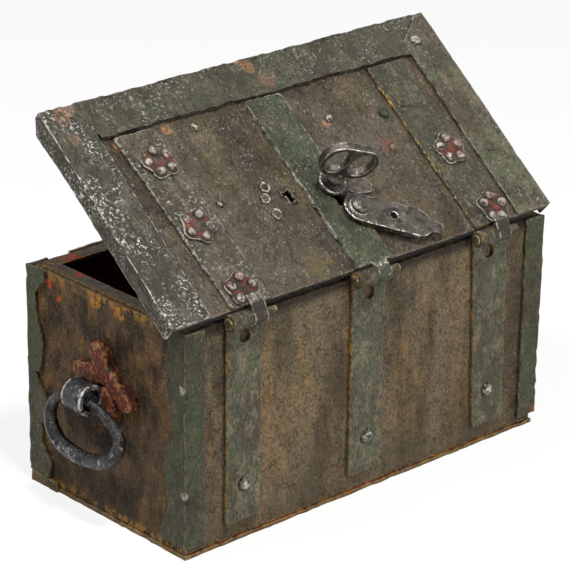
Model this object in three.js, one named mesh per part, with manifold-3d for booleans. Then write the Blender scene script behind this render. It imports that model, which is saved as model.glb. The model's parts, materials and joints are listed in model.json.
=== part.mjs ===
// An old iron casket: a sheet-iron box bound with straps and corner bands, a hinged lid with a
// key-driven lock underneath it, a swinging keyhole cover and a drop ring on each end.
// Millimetres, +Z up. The origin is the middle of the underside. The front faces -Y and the
// hinges are at +Y; left and right are those of somebody standing in front of it.
// Places on the lid are given as (x, v): v is the distance from the lid's hinge edge towards the
// front, and n is the height above the top face of the lid's straps, both with the lid shut.
import * as THREE from "three";
import { mergeVertices } from "three/addons/utils/BufferGeometryUtils.js";
import Module from "manifold-3d";

const wasm = await Module();
wasm.setup();

// Overall size of the box, over its corner bands
const bodyLength = 240;
const bodyDepth = 118;
const bodyHeight = 116;

// Stock and clearances
const sheet = 1.8;
const strapIron = 1.8;
const lipIron = 1.6;
const bottomSheet = 2;
const seatGap = 0.3;
const sheetRag = 0.5;

// Rim angles inside the top of the walls
const rimIron = 1.6;
const rimWidth = 8;
const rimDrop = 8;

// Corner bands: the widths of their uneven edges, by share of the way up from the band's foot
const bandFoot = 6;
const bandWallWidth = 12.5;
const bandEdgeNear = [
  [0, 18.6], [0.03, 17.8], [0.12, 14.1], [0.17, 11.9], [0.26, 13.4], [0.35, 15.5], [0.44, 14],
  [0.53, 7.6], [0.67, 11.8], [0.82, 14.6], [0.9, 12.6], [1, 12.6],
];
const bandEdgeFar = [
  [0, 15.1], [0.07, 16.1], [0.16, 10], [0.24, 9.5], [0.33, 12.9], [0.39, 13.1], [0.44, 9.3],
  [0.49, 5.5], [0.51, 9.5], [0.64, 12.3], [0.71, 10.2], [0.77, 7.2], [0.88, 6], [0.96, 14], [1, 14],
];
const footTabHeight = 5.5;
const footTabLength = 20;

// Straps on the walls, and the hinges that the rear ones roll into
const strapWidth = 21.5;
const strapFoot = 11;
const strapHoleRadius = 3.6;
const strapHoleDrop = 10;
const strapRivetRadius = 3.25;
const strapRivetHeight = 30;
const hingeInset = { left: 40.5, right: 36.5 };
const centreHingeX = 3.3;
const hingePinOffset = 2.8;
const hingePinRise = 0.2;
const hingePinRadius = 1.9;
const knuckleBore = hingePinRadius + seatGap;
const knuckleRadius = 4.2;
const bodyKnuckleLength = 11.5;
const lidKnuckleLength = 8.6;
const knuckleGap = 0.4;
const pinTail = 7.6;
const pinHeadRadius = 2.8;

// Lid
const lidOpenAngle = 39;
const lidSetback = 2;
const lidSidePlay = 3.8;
const lidFrontPlay = 6.4;
const lidShift = 3.2;
const lipDrop = 9;
const frontBandWidth = 22;
const endBandWidth = 23.4;
const mitreRun = 13.7;
const lidStrapEnd = 1;
const lidStrapRear = 0.3;
const mitreTip = 2.5;
const lidStrapWidth = { left: 25, centre: 23, right: 24 };
const lidStrapSkew = { left: 1.7, centre: 3.3, right: 6 };
const rosetteRadius = 10;
const rosetteIron = 1.2;
const bossRadius = 2.7;
const bossHeight = 1.3;
const bossCount = 5;
const bossCircle = 6.1;
const leafV = 7.6;
const leafShift = { left: -5.9, right: -1.9 };
const domeRadius = 2.6;
const domeHeight = 1.4;
const bandHeadInset = { left: 12, right: 9.5 };
const bandHeadRows = { left: [0.1, 0.75], right: [0.77] };

// Places on the lid as shares of its half-length and of its depth
const lidRows = { front: 0.66, rear: 0.36 };
const plateHeads = [
  [0.3, 0.395], [0.29, 0.32], [0.27, 0.443], [0.5, 0.433], [0.41, 0.773], [-0.42, 0.445], [-0.3, 0.789],
  [-0.216, 0.652],
];
const tornPlace = [0.19, 0.378];
const frontHeadX = -0.78;

// Key and keyhole
const keyX = -1;
const keyV = 45.4;
const keyRestAngle = 155;
const stemRadius = 3.5;
const stemHoleGap = 0.5;
const boreRadius = 1.8;
const bitReach = 12;
const bitThickness = 4;
const bitSlotWidth = 6;
const bitHeight = 7.6;
const stemBelowPlate = 10.1;
const shoulderRadius = 7.5;
const bowWidth = 29.2;
const bowHeight = 23.6;
const bowFoot = 9;
const bowDepth = 4.5;
const bowBar = 2.6;

// Lock under the lid: a slide with two tongues, and two side bolts that its slots drive
const leverReach = 9.5;
const halfTurn = 25;
const boltTravel = 2 * leverReach * Math.tan(THREE.MathUtils.degToRad(halfTurn));
const slideIron = 3;
const slideDrop = 9.1;
const slideRearWidth = 46;
const slideFrontWidth = 68;
const tongueWidth = 8;
const tongueSpread = 25;
const tipPlay = 0.9;
const boltPinRadius = 2;
const boltPinSpread = 20;
const boltV = 75;
const boltKeeperInner = 44;
const boltKeeperInset = 34;
const keeperIron = 1.6;
const keeperDepth = 5;
const bridgeDepth = 15;
const bridgeIron = 1.8;
const bridgeDrop = 12.6;
const springIron = 0.9;
const springFoot = 4.4;

// Keyhole cover
const coverX = -6.3;
const coverV = 28.3;
const coverLength = 46.8;
const coverAngle = 147.7;
const coverWidth = 16.5;
const coverIron = 1.5;
const coverRise = 2.2;
const coverPinRadius = 2;
const coverStep = 0.7;

// Drop rings and what holds them
const plateIron = 1.6;
const plateRadius = 10;
const plateShift = 7;
const plateRise = 8.2;
const lobeHeight = 5.7;
const eyeRadius = 5.4;
const eyeIron = 2.6;
const eyeWidth = 14;
const eyeY = -6;
const eyeDrop = 50.2;
const shankHalf = 4;
const clenchLength = 11;
const ringBar = 2.6;
const ringBarLow = 4;
const ringHalf = 26.3;
const ringLength = 30;

// Places worked out from the sizes above
const halfLength = bodyLength / 2;
const halfDepth = bodyDepth / 2;
const wallX = halfLength - strapIron - seatGap;
const wallY = halfDepth - strapIron - seatGap;
const rimX = wallX - sheet - seatGap;
const rimY = wallY - sheet - seatGap;
const wallFoot = bottomSheet + seatGap;
const wallTop = bodyHeight - seatGap;
const axisY = halfDepth + hingePinOffset;
const axisZ = bodyHeight + hingePinRise;
const lidRearY = halfDepth - lidSetback;
const lidDepth = bodyDepth - lidSetback + lidFrontPlay + lipIron;
const lidHalf = halfLength + lidSidePlay + lipIron;
const plateFoot = bodyHeight + seatGap;
const lidTopZ = plateFoot + sheet + seatGap + strapIron;
const plateTopN = -strapIron - seatGap;
const plateFootN = plateTopN - sheet;
const bandV = lidDepth - frontBandWidth;
const hingeX = {
  left: -halfLength + hingeInset.left,
  centre: centreHingeX,
  right: halfLength - hingeInset.right,
};
const slideFoot = lidTopZ - slideDrop;
const slideTop = slideFoot + slideIron;
const keeperTop = bodyHeight;
const eyeX = halfLength - strapIron + plateIron + seatGap + eyeRadius + eyeIron;
const eyeZ = bodyHeight - eyeDrop;

// Colours and finishes
const paintedIron = new THREE.MeshStandardMaterial({ color: 0x4c5548, roughness: 0.6, metalness: 0.3 });
const wallIron = new THREE.MeshStandardMaterial({ color: 0x574c40, roughness: 0.75, metalness: 0.4 });
const rimIronFinish = new THREE.MeshStandardMaterial({ color: 0x5a3f38, roughness: 0.7, metalness: 0.4 });
const brightIron = new THREE.MeshStandardMaterial({ color: 0x6c6a68, roughness: 0.4, metalness: 0.9 });
const redPaint = new THREE.MeshStandardMaterial({ color: 0x7c3a2e, roughness: 0.6, metalness: 0.2 });
const lockIron = new THREE.MeshStandardMaterial({ color: 0x4a4038, roughness: 0.6, metalness: 0.6 });

// Solids from geometries, and meshes from solids
function solidFrom(geometry) {
  const bare = geometry.clone();
  bare.deleteAttribute("normal");
  bare.deleteAttribute("uv");
  const merged = mergeVertices(bare, 1e-4);
  const corners = merged.index.array;
  const faces = [];
  for (let i = 0; i < corners.length; i += 3) {
    const [a, b, c] = [corners[i], corners[i + 1], corners[i + 2]];
    if (a !== b && b !== c && a !== c) faces.push(a, b, c);
  }
  const vertProperties = new Float32Array(merged.attributes.position.array);
  return new wasm.Manifold(new wasm.Mesh({ numProp: 3, vertProperties, triVerts: new Uint32Array(faces) }));
}

const join = (first, ...others) => others.reduce((sum, next) => sum.add(next), first);
const cut = (first, ...others) => others.reduce((rest, next) => rest.subtract(next), first);

function meshFrom(name, solid, material) {
  const result = solid.getMesh();
  const geometry = new THREE.BufferGeometry();
  const points = new Float32Array(result.numVert * 3);
  for (let i = 0; i < result.numVert; i++) {
    points.set(result.vertProperties.subarray(i * result.numProp, i * result.numProp + 3), i * 3);
  }
  geometry.setAttribute("position", new THREE.BufferAttribute(points, 3));
  geometry.setIndex(new THREE.BufferAttribute(result.triVerts, 1));
  geometry.computeVertexNormals();
  const mesh = new THREE.Mesh(geometry, material);
  mesh.name = name;
  return mesh;
}

// A box between two corners
function block([x0, x1], [y0, y1], [z0, z1]) {
  const geometry = new THREE.BoxGeometry(x1 - x0, y1 - y0, z1 - z0);
  return solidFrom(geometry.translate((x0 + x1) / 2, (y0 + y1) / 2, (z0 + z1) / 2));
}

// A round bar between two points
function rod(radius, start, end, sides = 16) {
  const from = new THREE.Vector3(...start);
  const to = new THREE.Vector3(...end);
  const span = to.clone().sub(from);
  const geometry = new THREE.CylinderGeometry(radius, radius, span.length(), sides);
  const upright = new THREE.Vector3(0, 1, 0);
  geometry.applyQuaternion(new THREE.Quaternion().setFromUnitVectors(upright, span.clone().normalize()));
  const middle = from.add(to).multiplyScalar(0.5);
  return solidFrom(geometry.translate(middle.x, middle.y, middle.z));
}

// A turned form: the profile lists (radius, height) from the foot to the top on the axis
function turned(profile, at, along = [0, 0, 1], sides = 16) {
  const geometry = new THREE.LatheGeometry(profile.map(([r, h]) => new THREE.Vector2(r, h)), sides);
  const axis = new THREE.Vector3(...along).normalize();
  geometry.applyQuaternion(new THREE.Quaternion().setFromUnitVectors(new THREE.Vector3(0, 1, 0), axis));
  return solidFrom(geometry.translate(...at));
}

// A domed rivet head of this radius and height, sunk a little into what it sits on
function dome(radius, height, at, along, sunk = 0.4, sides = 12) {
  const profile = [
    [0, -sunk], [radius, -sunk], [radius, 0], [radius * 0.86, height * 0.5], [radius * 0.5, height * 0.87],
    [0, height],
  ];
  return turned(profile, at, along, sides);
}

// Plates: an outline drawn in one plane and thickened along the third axis
const planes = {
  xy: new THREE.Matrix4(),
  xz: new THREE.Matrix4().makeBasis(
    new THREE.Vector3(1, 0, 0), new THREE.Vector3(0, 0, 1), new THREE.Vector3(0, -1, 0),
  ),
  yz: new THREE.Matrix4().makeBasis(
    new THREE.Vector3(0, 1, 0), new THREE.Vector3(0, 0, 1), new THREE.Vector3(1, 0, 0),
  ),
};

function anticlockwise(outline) {
  const points = outline.map(([a, b]) => new THREE.Vector2(a, b));
  return THREE.ShapeUtils.isClockWise(points) ? points.reverse() : points;
}

function slabGeometry(plane, outline, [from, to], holes = [], bevel = null) {
  const shape = new THREE.Shape(anticlockwise(outline));
  shape.holes = holes.map((hole) => new THREE.Path(anticlockwise(hole)));
  const geometry = new THREE.ExtrudeGeometry(shape, {
    depth: to - from,
    steps: 1,
    curveSegments: 8,
    bevelEnabled: Boolean(bevel),
    ...bevel,
  });
  geometry.translate(0, 0, plane === "xz" ? -to : from);
  return geometry.applyMatrix4(planes[plane]);
}

const slab = (...details) => solidFrom(slabGeometry(...details));

// A plate that lies on the shut lid, with its outline in (x, v) and its faces at two heights n
function lidSlab(outline, [n0, n1], holes = []) {
  const flat = (points) => points.map(([x, v]) => [x, lidRearY - v]);
  return slab("xy", flat(outline), [lidTopZ + n0, lidTopZ + n1], holes.map(flat));
}

const onLid = (x, v, n) => [x, lidRearY - v, lidTopZ + n];

// Rivet heads on a face of the lid at height n
const headsAt = (places, n) => places.map(([x, v]) => dome(domeRadius, domeHeight, onLid(x, v, n), [0, 0, 1]));

// Outlines
const circle = (a, b, radius, count = 16) => Array.from({ length: count }, (_, i) => {
  const turn = (2 * Math.PI * i) / count;
  return [a + radius * Math.cos(turn), b + radius * Math.sin(turn)];
});

const rectangle = (a0, a1, b0, b1) => [[a0, b0], [a1, b0], [a1, b1], [a0, b1]];

// A capsule of half-width r from one point to another
function capsule([a0, b0], [a1, b1], r, count = 6) {
  const heading = Math.atan2(b1 - b0, a1 - a0);
  const points = [];
  for (const [a, b, start] of [[a1, b1, heading - Math.PI / 2], [a0, b0, heading + Math.PI / 2]]) {
    for (let i = 0; i <= count; i++) {
      const turn = start + (Math.PI * i) / count;
      points.push([a + r * Math.cos(turn), b + r * Math.sin(turn)]);
    }
  }
  return points;
}

// The uneven edge that shears and rust leave on a sheet: points along a line, moved across it
function raggedEdge([a0, b0], [a1, b1], depth, phase = 0) {
  const length = Math.hypot(a1 - a0, b1 - b0);
  const [ua, ub] = [(a1 - a0) / length, (b1 - b0) / length];
  const count = Math.max(4, Math.round(length / 9));
  return Array.from({ length: count }, (_, i) => {
    const along = (length * i) / count;
    const wave = Math.sin(along * 0.29 + phase) * 0.6 + Math.sin(along * 0.83 + 2 * phase) * 0.4;
    const across = i === 0 ? 0 : (depth * (1 - wave)) / 2;
    return [a0 + ua * along - ub * across, b0 + ub * along + ua * across];
  });
}

// Groups: the box stays in the part's frame, and the lid's group turns about the hinge pins
const casket = new THREE.Group();
const lid = new THREE.Group();
lid.position.set(0, axisY, axisZ);
lid.rotation.x = -THREE.MathUtils.degToRad(lidOpenAngle);
const lidPieces = new THREE.Group();
lidPieces.position.set(0, -axisY, -axisZ);
lid.add(lidPieces);
casket.add(lid);

// Bottom, walls and the rim inside them
function makeBottom() {
  const [x, y] = [wallX + 1, wallY + 1];
  const outline = [
    ...raggedEdge([-x, -y], [x, -y], sheetRag, 0.4),
    ...raggedEdge([x, -y], [x, y], sheetRag, 1.7),
    ...raggedEdge([x, y], [-x, y], sheetRag, 2.9),
    ...raggedEdge([-x, y], [-x, -y], sheetRag, 4.1),
  ];
  const plate = slab("xy", outline, [0, bottomSheet]);
  const tabFace = halfLength - 0.2;
  const tab = block(
    [wallX + seatGap, tabFace],
    [-halfDepth + 1, -halfDepth + 1 + footTabLength],
    [0, footTabHeight],
  );
  const toTab = block([x - 3, tabFace], [-halfDepth + 1.2, -halfDepth + 1 + footTabLength], [0, bottomSheet]);
  return join(plate, toTab, tab);
}

// A wall in its own plane: a straight foot and sides, and an uneven top edge
const wallOutline = (half, phase) => [
  [-half, wallTop], [-half, wallFoot], [half, wallFoot],
  ...raggedEdge([half, wallTop], [-half, wallTop], sheetRag, phase),
];

casket.add(meshFrom("bottom_plate", makeBottom(), wallIron));
casket.add(meshFrom("front_wall", slab("xz", wallOutline(wallX, 0.9), [-wallY, -wallY + sheet]), wallIron));
casket.add(meshFrom("back_wall", slab("xz", wallOutline(wallX, 2.3), [wallY - sheet, wallY]), wallIron));

const endHalf = wallY - sheet - seatGap;
const shankRoomY = [eyeY - shankHalf - seatGap, eyeY + shankHalf + seatGap];
const shankRoomZ = [eyeZ - eyeIron / 2 - seatGap, eyeZ + eyeIron / 2 + seatGap];
for (const [name, side] of [["left", -1], ["right", 1]]) {
  const faces = [side * wallX, side * (wallX - sheet)].sort((a, b) => a - b);
  const hole = rectangle(...shankRoomY, ...shankRoomZ);
  const wall = slab("yz", wallOutline(endHalf, 1.3 + side), faces, [hole]);
  casket.add(meshFrom(`${name}_end_wall`, wall, wallIron));
}

// A mitred angle iron along one side of the rim, drawn along +X at the front and turned into place.
// Its ends are drawn in by as much as each point lies inside the outer face
function rimAngle(half, reach, turns) {
  const mitre = seatGap * 0.7;
  const [outer, top] = [-reach, bodyHeight];
  const profile = [
    [outer, top], [outer, top - rimDrop], [outer + rimIron, top - rimDrop],
    [outer + rimIron, top - rimIron], [outer + rimWidth, top - rimIron], [outer + rimWidth, top],
  ];
  const geometry = slabGeometry("yz", profile, [-1, 1]);
  const position = geometry.getAttribute("position");
  for (let i = 0; i < position.count; i++) {
    const end = half - mitre - (position.getY(i) - outer);
    position.setX(i, Math.sign(position.getX(i)) * end);
  }
  return solidFrom(geometry.rotateZ((turns * Math.PI) / 2));
}

casket.add(meshFrom("rim_angle_front", rimAngle(rimX, rimY, 0), rimIronFinish));
casket.add(meshFrom("rim_angle_right", rimAngle(rimY, rimX, 1), rimIronFinish));
casket.add(meshFrom("rim_angle_back", rimAngle(rimX, rimY, 2), rimIronFinish));
casket.add(meshFrom("rim_angle_left", rimAngle(rimY, rimX, 3), rimIronFinish));

// A corner band: one leg on the long wall with a straight edge, one on the end wall with an
// uneven, cusped edge
function cornerBand(sideX, sideY, edge) {
  const inner = edge.map(([share, width]) => {
    const z = bandFoot + share * (wallTop - bandFoot);
    return [sideY * (halfDepth - width), z];
  });
  const endLeg = [[sideY * halfDepth, bandFoot], ...inner, [sideY * halfDepth, wallTop]];
  const endFaces = [sideX * halfLength, sideX * (halfLength - strapIron)].sort((a, b) => a - b);
  const wallLeg = rectangle(sideX * (halfLength - bandWallWidth), sideX * halfLength, bandFoot, wallTop);
  const wallFaces = [sideY * halfDepth, sideY * (halfDepth - strapIron)].sort((a, b) => a - b);
  return join(slab("yz", endLeg, endFaces), slab("xz", wallLeg, wallFaces));
}

casket.add(meshFrom("corner_band_back_right", cornerBand(1, 1, bandEdgeNear), paintedIron));
casket.add(meshFrom("corner_band_front_right", cornerBand(1, -1, bandEdgeFar), paintedIron));
casket.add(meshFrom("corner_band_back_left", cornerBand(-1, 1, bandEdgeFar), paintedIron));
casket.add(meshFrom("corner_band_front_left", cornerBand(-1, -1, bandEdgeNear), paintedIron));

// A rolled hinge knuckle around the pin: the roll, and the hole that is cut through it
const roll = (x0, x1) => slab("yz", circle(axisY, axisZ, knuckleRadius, 20), [x0, x1]);
const rollBore = (x0, x1) => slab("yz", circle(axisY, axisZ, knuckleBore, 20), [x0 - 1, x1 + 1]);

// A strap on the back wall: it rises beside the lid's knuckle and rolls into its own
function backStrap(x, footSkew) {
  const half = strapWidth / 2;
  const notch = axisZ - knuckleRadius - 0.5;
  const outline = [
    [x - half - footSkew, strapFoot], [x + half - footSkew, strapFoot], [x + half, notch], [x + half, axisZ],
    [x, axisZ], [x, notch], [x - half - footSkew / 2, notch],
  ];
  const hole = circle(x - 0.5, axisZ - strapHoleDrop, strapHoleRadius, 12);
  const strap = slab("xz", outline, [halfDepth - strapIron, halfDepth], [hole]);
  const rivetAt = [x - 0.7 - footSkew / 2, halfDepth, strapRivetHeight];
  const rivet = dome(strapRivetRadius, domeHeight, rivetAt, [0, 1, 0]);
  const knuckle = cut(roll(x, x + bodyKnuckleLength), rollBore(x, x + bodyKnuckleLength));
  return join(strap, rivet, knuckle);
}

// A strap on the front wall, opposite a hinge
function frontStrap(x) {
  const half = strapWidth / 2;
  const outline = rectangle(x - half, x + half, strapFoot, wallTop);
  const strap = slab("xz", outline, [-halfDepth, -halfDepth + strapIron]);
  const heads = [strapRivetHeight, axisZ - strapHoleDrop].map((z) =>
    dome(strapRivetRadius, domeHeight, [x, -halfDepth, z], [0, -1, 0]));
  return join(strap, ...heads);
}

// A hinge pin: a bar with a hammered head at one end and a tail that sticks out at the other
function hingePin(x) {
  const headFrom = x + bodyKnuckleLength + seatGap;
  const tailTo = x - knuckleGap - lidKnuckleLength - pinTail;
  const bar = rod(hingePinRadius, [tailTo, axisY, axisZ], [headFrom + 0.5, axisY, axisZ]);
  const head = rod(pinHeadRadius, [headFrom, axisY, axisZ], [headFrom + 1.2, axisY, axisZ], 12);
  return join(bar, head);
}

for (const [name, x] of Object.entries(hingeX)) {
  const footSkew = name === "left" ? 4.4 : 0;
  casket.add(meshFrom(`back_strap_${name}`, backStrap(x, footSkew), paintedIron));
  casket.add(meshFrom(`front_strap_${name}`, frontStrap(x), paintedIron));
  casket.add(meshFrom(`hinge_pin_${name}`, hingePin(x), brightIron));
}

// A drop ring's plate: four thick, rounded lobes on a thin plate, with a hole for the staple.
// Each lobe runs from a root to a tip, both from the plate's middle, in shares of its radius
const plateLobes = [
  { root: [0.19, 0.48], tip: [-0.26, 1.46], radius: 0.58 },
  { root: [-0.48, 0.18], tip: [-1.64, 0.16], radius: 0.46 },
  { root: [0.64, 0.4], tip: [1.8, -0.54], radius: 0.46 },
  { root: [0.45, -0.48], tip: [0.56, -1.8], radius: 0.44 },
];

function handlePlate() {
  const [y, z] = [eyeY + plateShift, eyeZ + plateRise];
  const back = halfLength - strapIron;
  const round = 1.9;
  const bevel = { bevelThickness: round, bevelSize: round, bevelSegments: 2, bevelOffset: -round };
  const place = ([a, b]) => [y + a * plateRadius, z + b * plateRadius];
  const raised = plateLobes.map(({ root, tip, radius }) => {
    const outline = capsule(place(root), place(tip), radius * plateRadius, 5);
    return slab("yz", outline, [back - round - 1, back + lobeHeight - round], [], bevel);
  });
  const thin = slab("yz", circle(y, z, plateRadius, 14), [back, back + plateIron]);
  const behind = block([back - 9, back], [-halfDepth, halfDepth], [0, bodyHeight]);
  const [y0, y1] = [eyeY - eyeWidth / 2 - 1, eyeY + eyeWidth / 2 + 1];
  const eyeRoom = rod(eyeRadius + eyeIron + seatGap, [eyeX, y0, eyeZ], [eyeX, y1, eyeZ], 24);
  const shankRoom = block([back - 1, back + 9], shankRoomY, shankRoomZ);
  return cut(join(thin, ...raised), behind, eyeRoom, shankRoom);
}

// The staple: a broad strip curled into an eye round the ring, with a shank through the wall
// that is bent down flat inside
function handleStaple() {
  const [y0, y1] = [eyeY - eyeWidth / 2, eyeY + eyeWidth / 2];
  const [shankY0, shankY1] = [eyeY - shankHalf, eyeY + shankHalf];
  const [shankFoot, shankTop] = [eyeZ - eyeIron / 2, eyeZ + eyeIron / 2];
  const outer = rod(eyeRadius + eyeIron, [eyeX, y0, eyeZ], [eyeX, y1, eyeZ], 24);
  const inner = rod(eyeRadius, [eyeX, y0 - 1, eyeZ], [eyeX, y1 + 1, eyeZ], 24);
  const inside = wallX - sheet - seatGap;
  const shank = block([inside - 1, eyeX - eyeRadius - 0.4], [shankY0, shankY1], [shankFoot, shankTop]);
  const clench = block([inside - 2, inside], [shankY0, shankY1], [eyeZ - clenchLength, shankTop]);
  return join(cut(outer, inner), shank, clench);
}

// A drop ring's course, as shares of its half-width and its length below the bar in the eye
const ringCourse = [
  [0.3, 0], [0.57, 0.05], [0.84, 0.15], [1.03, 0.33], [1.01, 0.53], [0.84, 0.73], [0.57, 0.89],
  [0.23, 0.97], [-0.15, 1], [-0.49, 0.98], [-0.76, 0.88], [-0.93, 0.7], [-0.97, 0.48], [-0.87, 0.27],
  [-0.67, 0.11], [-0.38, 0.02], [-0.23, 0],
];

// A ring swept round a closed curve in its own plane; its bar is thicker away from the eye
function dropRing() {
  const barZ = eyeZ - eyeRadius + ringBar + seatGap;
  const route = ringCourse.map(([across, down]) =>
    new THREE.Vector3(eyeX, eyeY + across * ringHalf, barZ - down * ringLength));
  const curve = new THREE.CatmullRomCurve3(route, true);
  const [rings, sides] = [44, 8];
  const points = [];
  const faces = [];
  for (let i = 0; i < rings; i++) {
    const centre = curve.getPoint(i / rings);
    const ahead = curve.getTangent(i / rings);
    const out = new THREE.Vector3(0, ahead.z, -ahead.y).normalize();
    const low = Math.min(1, Math.max(0, (barZ - centre.z) / (ringLength * 0.8)));
    const radius = ringBar + (ringBarLow - ringBar) * low;
    for (let j = 0; j < sides; j++) {
      const turn = (2 * Math.PI * j) / sides;
      const [across, outward] = [radius * Math.sin(turn) * 0.95, radius * Math.cos(turn)];
      points.push(centre.x + across, centre.y + out.y * outward, centre.z + out.z * outward);
      const next = (j + 1) % sides;
      const [a, b] = [i * sides + j, i * sides + next];
      const [c, d] = [((i + 1) % rings) * sides + j, ((i + 1) % rings) * sides + next];
      faces.push(a, b, c, b, d, c);
    }
  }
  const geometry = new THREE.BufferGeometry();
  geometry.setAttribute("position", new THREE.Float32BufferAttribute(points, 3));
  geometry.setIndex(faces);
  const solid = solidFrom(geometry);
  return solid.volume() > 0 ? solid : solidFrom(geometry.setIndex(faces.reverse()));
}

const flip = (solid, side) => (side > 0 ? solid : solid.mirror([1, 0, 0]));
for (const [name, side] of [["left", -1], ["right", 1]]) {
  casket.add(meshFrom(`handle_plate_${name}`, flip(handlePlate(), side), redPaint));
  casket.add(meshFrom(`handle_staple_${name}`, flip(handleStaple(), side), brightIron));
  casket.add(meshFrom(`ring_handle_${name}`, flip(dropRing(), side), brightIron));
}

// Lid plate, with the keyhole and a broken hole with ragged edges
function keyhole() {
  const radius = stemRadius + stemHoleGap;
  const slotEnd = keyV - bitReach - 0.4;
  const half = bitSlotWidth / 2;
  const [slotAngle, lean] = [Math.asin(half / radius), 0.9];
  const round = Array.from({ length: 13 }, (_, i) => {
    const turn = -Math.PI / 2 + slotAngle + ((2 * Math.PI - 2 * slotAngle) * i) / 12;
    return [keyX + radius * Math.cos(turn), keyV + radius * Math.sin(turn)];
  });
  return [...round, [keyX - half - lean, slotEnd], [keyX + half - lean, slotEnd]];
}

const tornEdge = [
  [3.4, -1.2], [2.2, 1.6], [2.6, 3.2], [0.2, 2.8], [-1.6, 3.9], [-3.2, 1.4], [-2.4, -0.8], [-3.6, -2.6],
  [-0.4, -3], [1.8, -3.6],
];

const lidPlace = ([shareX, shareV]) => [shareX * lidHalf, shareV * lidDepth];

function lidPlate() {
  const half = lidHalf - lipIron - seatGap;
  const outline = rectangle(-half + lidShift, half + lidShift, 0, lidDepth - lipIron - seatGap);
  const [tornX, tornV] = lidPlace(tornPlace);
  const torn = tornEdge.map(([x, v]) => [tornX + x, tornV + v]);
  const plate = lidSlab(outline, [plateFootN, plateTopN], [keyhole(), torn]);
  return join(plate, ...headsAt(plateHeads.map(lidPlace), plateTopN));
}

// Bands round three sides of the lid, with lips that hang over the walls
function frontBand() {
  const inner = lidHalf - endBandWidth - seatGap / 2;
  const joint = lidDepth - mitreRun + seatGap / 2;
  const tip = lidHalf - lipIron - mitreTip - seatGap / 2;
  const shifted = (points) => points.map(([x, v]) => [x + lidShift, v]);
  const ragged = raggedEdge([inner, bandV], [-inner, bandV], -sheetRag * 2, 0.2).reverse();
  const outline = [
    [-tip, lidDepth], [-inner, joint], [-inner, bandV], ...ragged, [inner, joint], [tip, lidDepth],
  ];
  const top = lidSlab(shifted(outline), [-strapIron, 0]);
  const lipInner = tip - ((tip - inner) * lipIron) / (lidDepth - joint);
  const lipV = lidDepth - lipIron;
  const lipOutline = [[-tip, lidDepth], [tip, lidDepth], [lipInner, lipV], [-lipInner, lipV]];
  const lip = lidSlab(shifted(lipOutline), [-lipDrop, -strapIron / 2]);
  const head = [frontHeadX * lidHalf + lidShift, lidDepth - domeRadius - 1.2];
  return join(top, lip, ...headsAt([head], 0));
}

// A band along one end; its lip is deeper towards the front corner
function endBand(name, side) {
  const inner = lidHalf - endBandWidth + seatGap / 2;
  const joint = lidDepth - mitreRun;
  const tip = lidHalf - lipIron - mitreTip + seatGap / 2;
  const place = (x) => side * x + lidShift;
  const outline = [[inner, 0], [lidHalf, 0], [lidHalf, lidDepth], [tip, lidDepth], [inner, joint]];
  const top = lidSlab(outline.map(([x, v]) => [place(x), v]), [-strapIron, 0]);
  const below = [
    [0, -strapIron / 3], [lidDepth, -strapIron / 3], [lidDepth, -4], [lidDepth - 6, -11],
    [lidDepth - 24, -9.5], [0, -lipDrop],
  ];
  const lipFaces = [place(lidHalf - lipIron), place(lidHalf)].sort((a, b) => a - b);
  const lip = slab("yz", below.map(([v, n]) => [lidRearY - v, lidTopZ + n]), lipFaces);
  const heads = bandHeadRows[name].map((row) => [place(lidHalf - bandHeadInset[name]), row * lidDepth]);
  return join(top, lip, ...headsAt(heads, 0));
}

// A strap over the lid, skewed a little, from the hinge edge to just behind the front band
function strapAcross(name) {
  const half = lidStrapWidth[name] / 2;
  const front = bandV - lidStrapEnd;
  const lean = lidStrapSkew[name] / 2;
  const x = hingeX[name] - 0.5;
  return [
    [x - half - lean, lidStrapRear], [x + half - lean, lidStrapRear], [x + half + lean, front],
    [x - half + lean, front],
  ];
}

// The lid's half of a hinge: a neck that runs down from the strap and rolls round the pin
function lidKnuckle(name, topN, underN) {
  const x1 = hingeX[name] - knuckleGap;
  const x0 = x1 - lidKnuckleLength;
  const [pinV, pinN] = [lidRearY - axisY, axisZ - lidTopZ];
  const rollTop = pinN + knuckleRadius;
  const neck = [
    [4, underN], [0, underN], [-1.6, underN - 1.5], [-2.4, underN - 3], [pinV, rollTop - 1.5],
    [pinV, rollTop], [-2.5, (topN + rollTop) / 2 + 0.4], [0, topN], [4, topN],
  ];
  const body = slab("yz", neck.map(([v, n]) => [lidRearY - v, lidTopZ + n]), [x0, x1]);
  return cut(join(roll(x0, x1), body), rollBore(x0, x1));
}

// A thin lobed plate with a ring of bosses round its middle
function rosette(x, v, n, turnedBy = 0) {
  const count = bossCount * 6;
  const outline = Array.from({ length: count }, (_, i) => {
    const turn = (2 * Math.PI * i) / count;
    const radius = rosetteRadius - 0.9 + 0.9 * Math.cos(bossCount * (turn - turnedBy));
    return [x + radius * Math.cos(turn), v + radius * Math.sin(turn)];
  });
  const bosses = Array.from({ length: bossCount }, (_, i) => {
    const turn = turnedBy + (2 * Math.PI * i) / bossCount;
    const at = onLid(x + bossCircle * Math.cos(turn), v + bossCircle * Math.sin(turn), n + rosetteIron);
    return dome(bossRadius, bossHeight, at, [0, 0, 1], 0.4, 10);
  });
  return join(lidSlab(outline, [n, n + rosetteIron]), ...bosses);
}

lidPieces.add(meshFrom("lid_plate", lidPlate(), wallIron));
lidPieces.add(meshFrom("lid_band_front", frontBand(), paintedIron));
lidPieces.add(meshFrom("lid_band_left", endBand("left", -1), paintedIron));
lidPieces.add(meshFrom("lid_band_right", endBand("right", 1), paintedIron));

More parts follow.
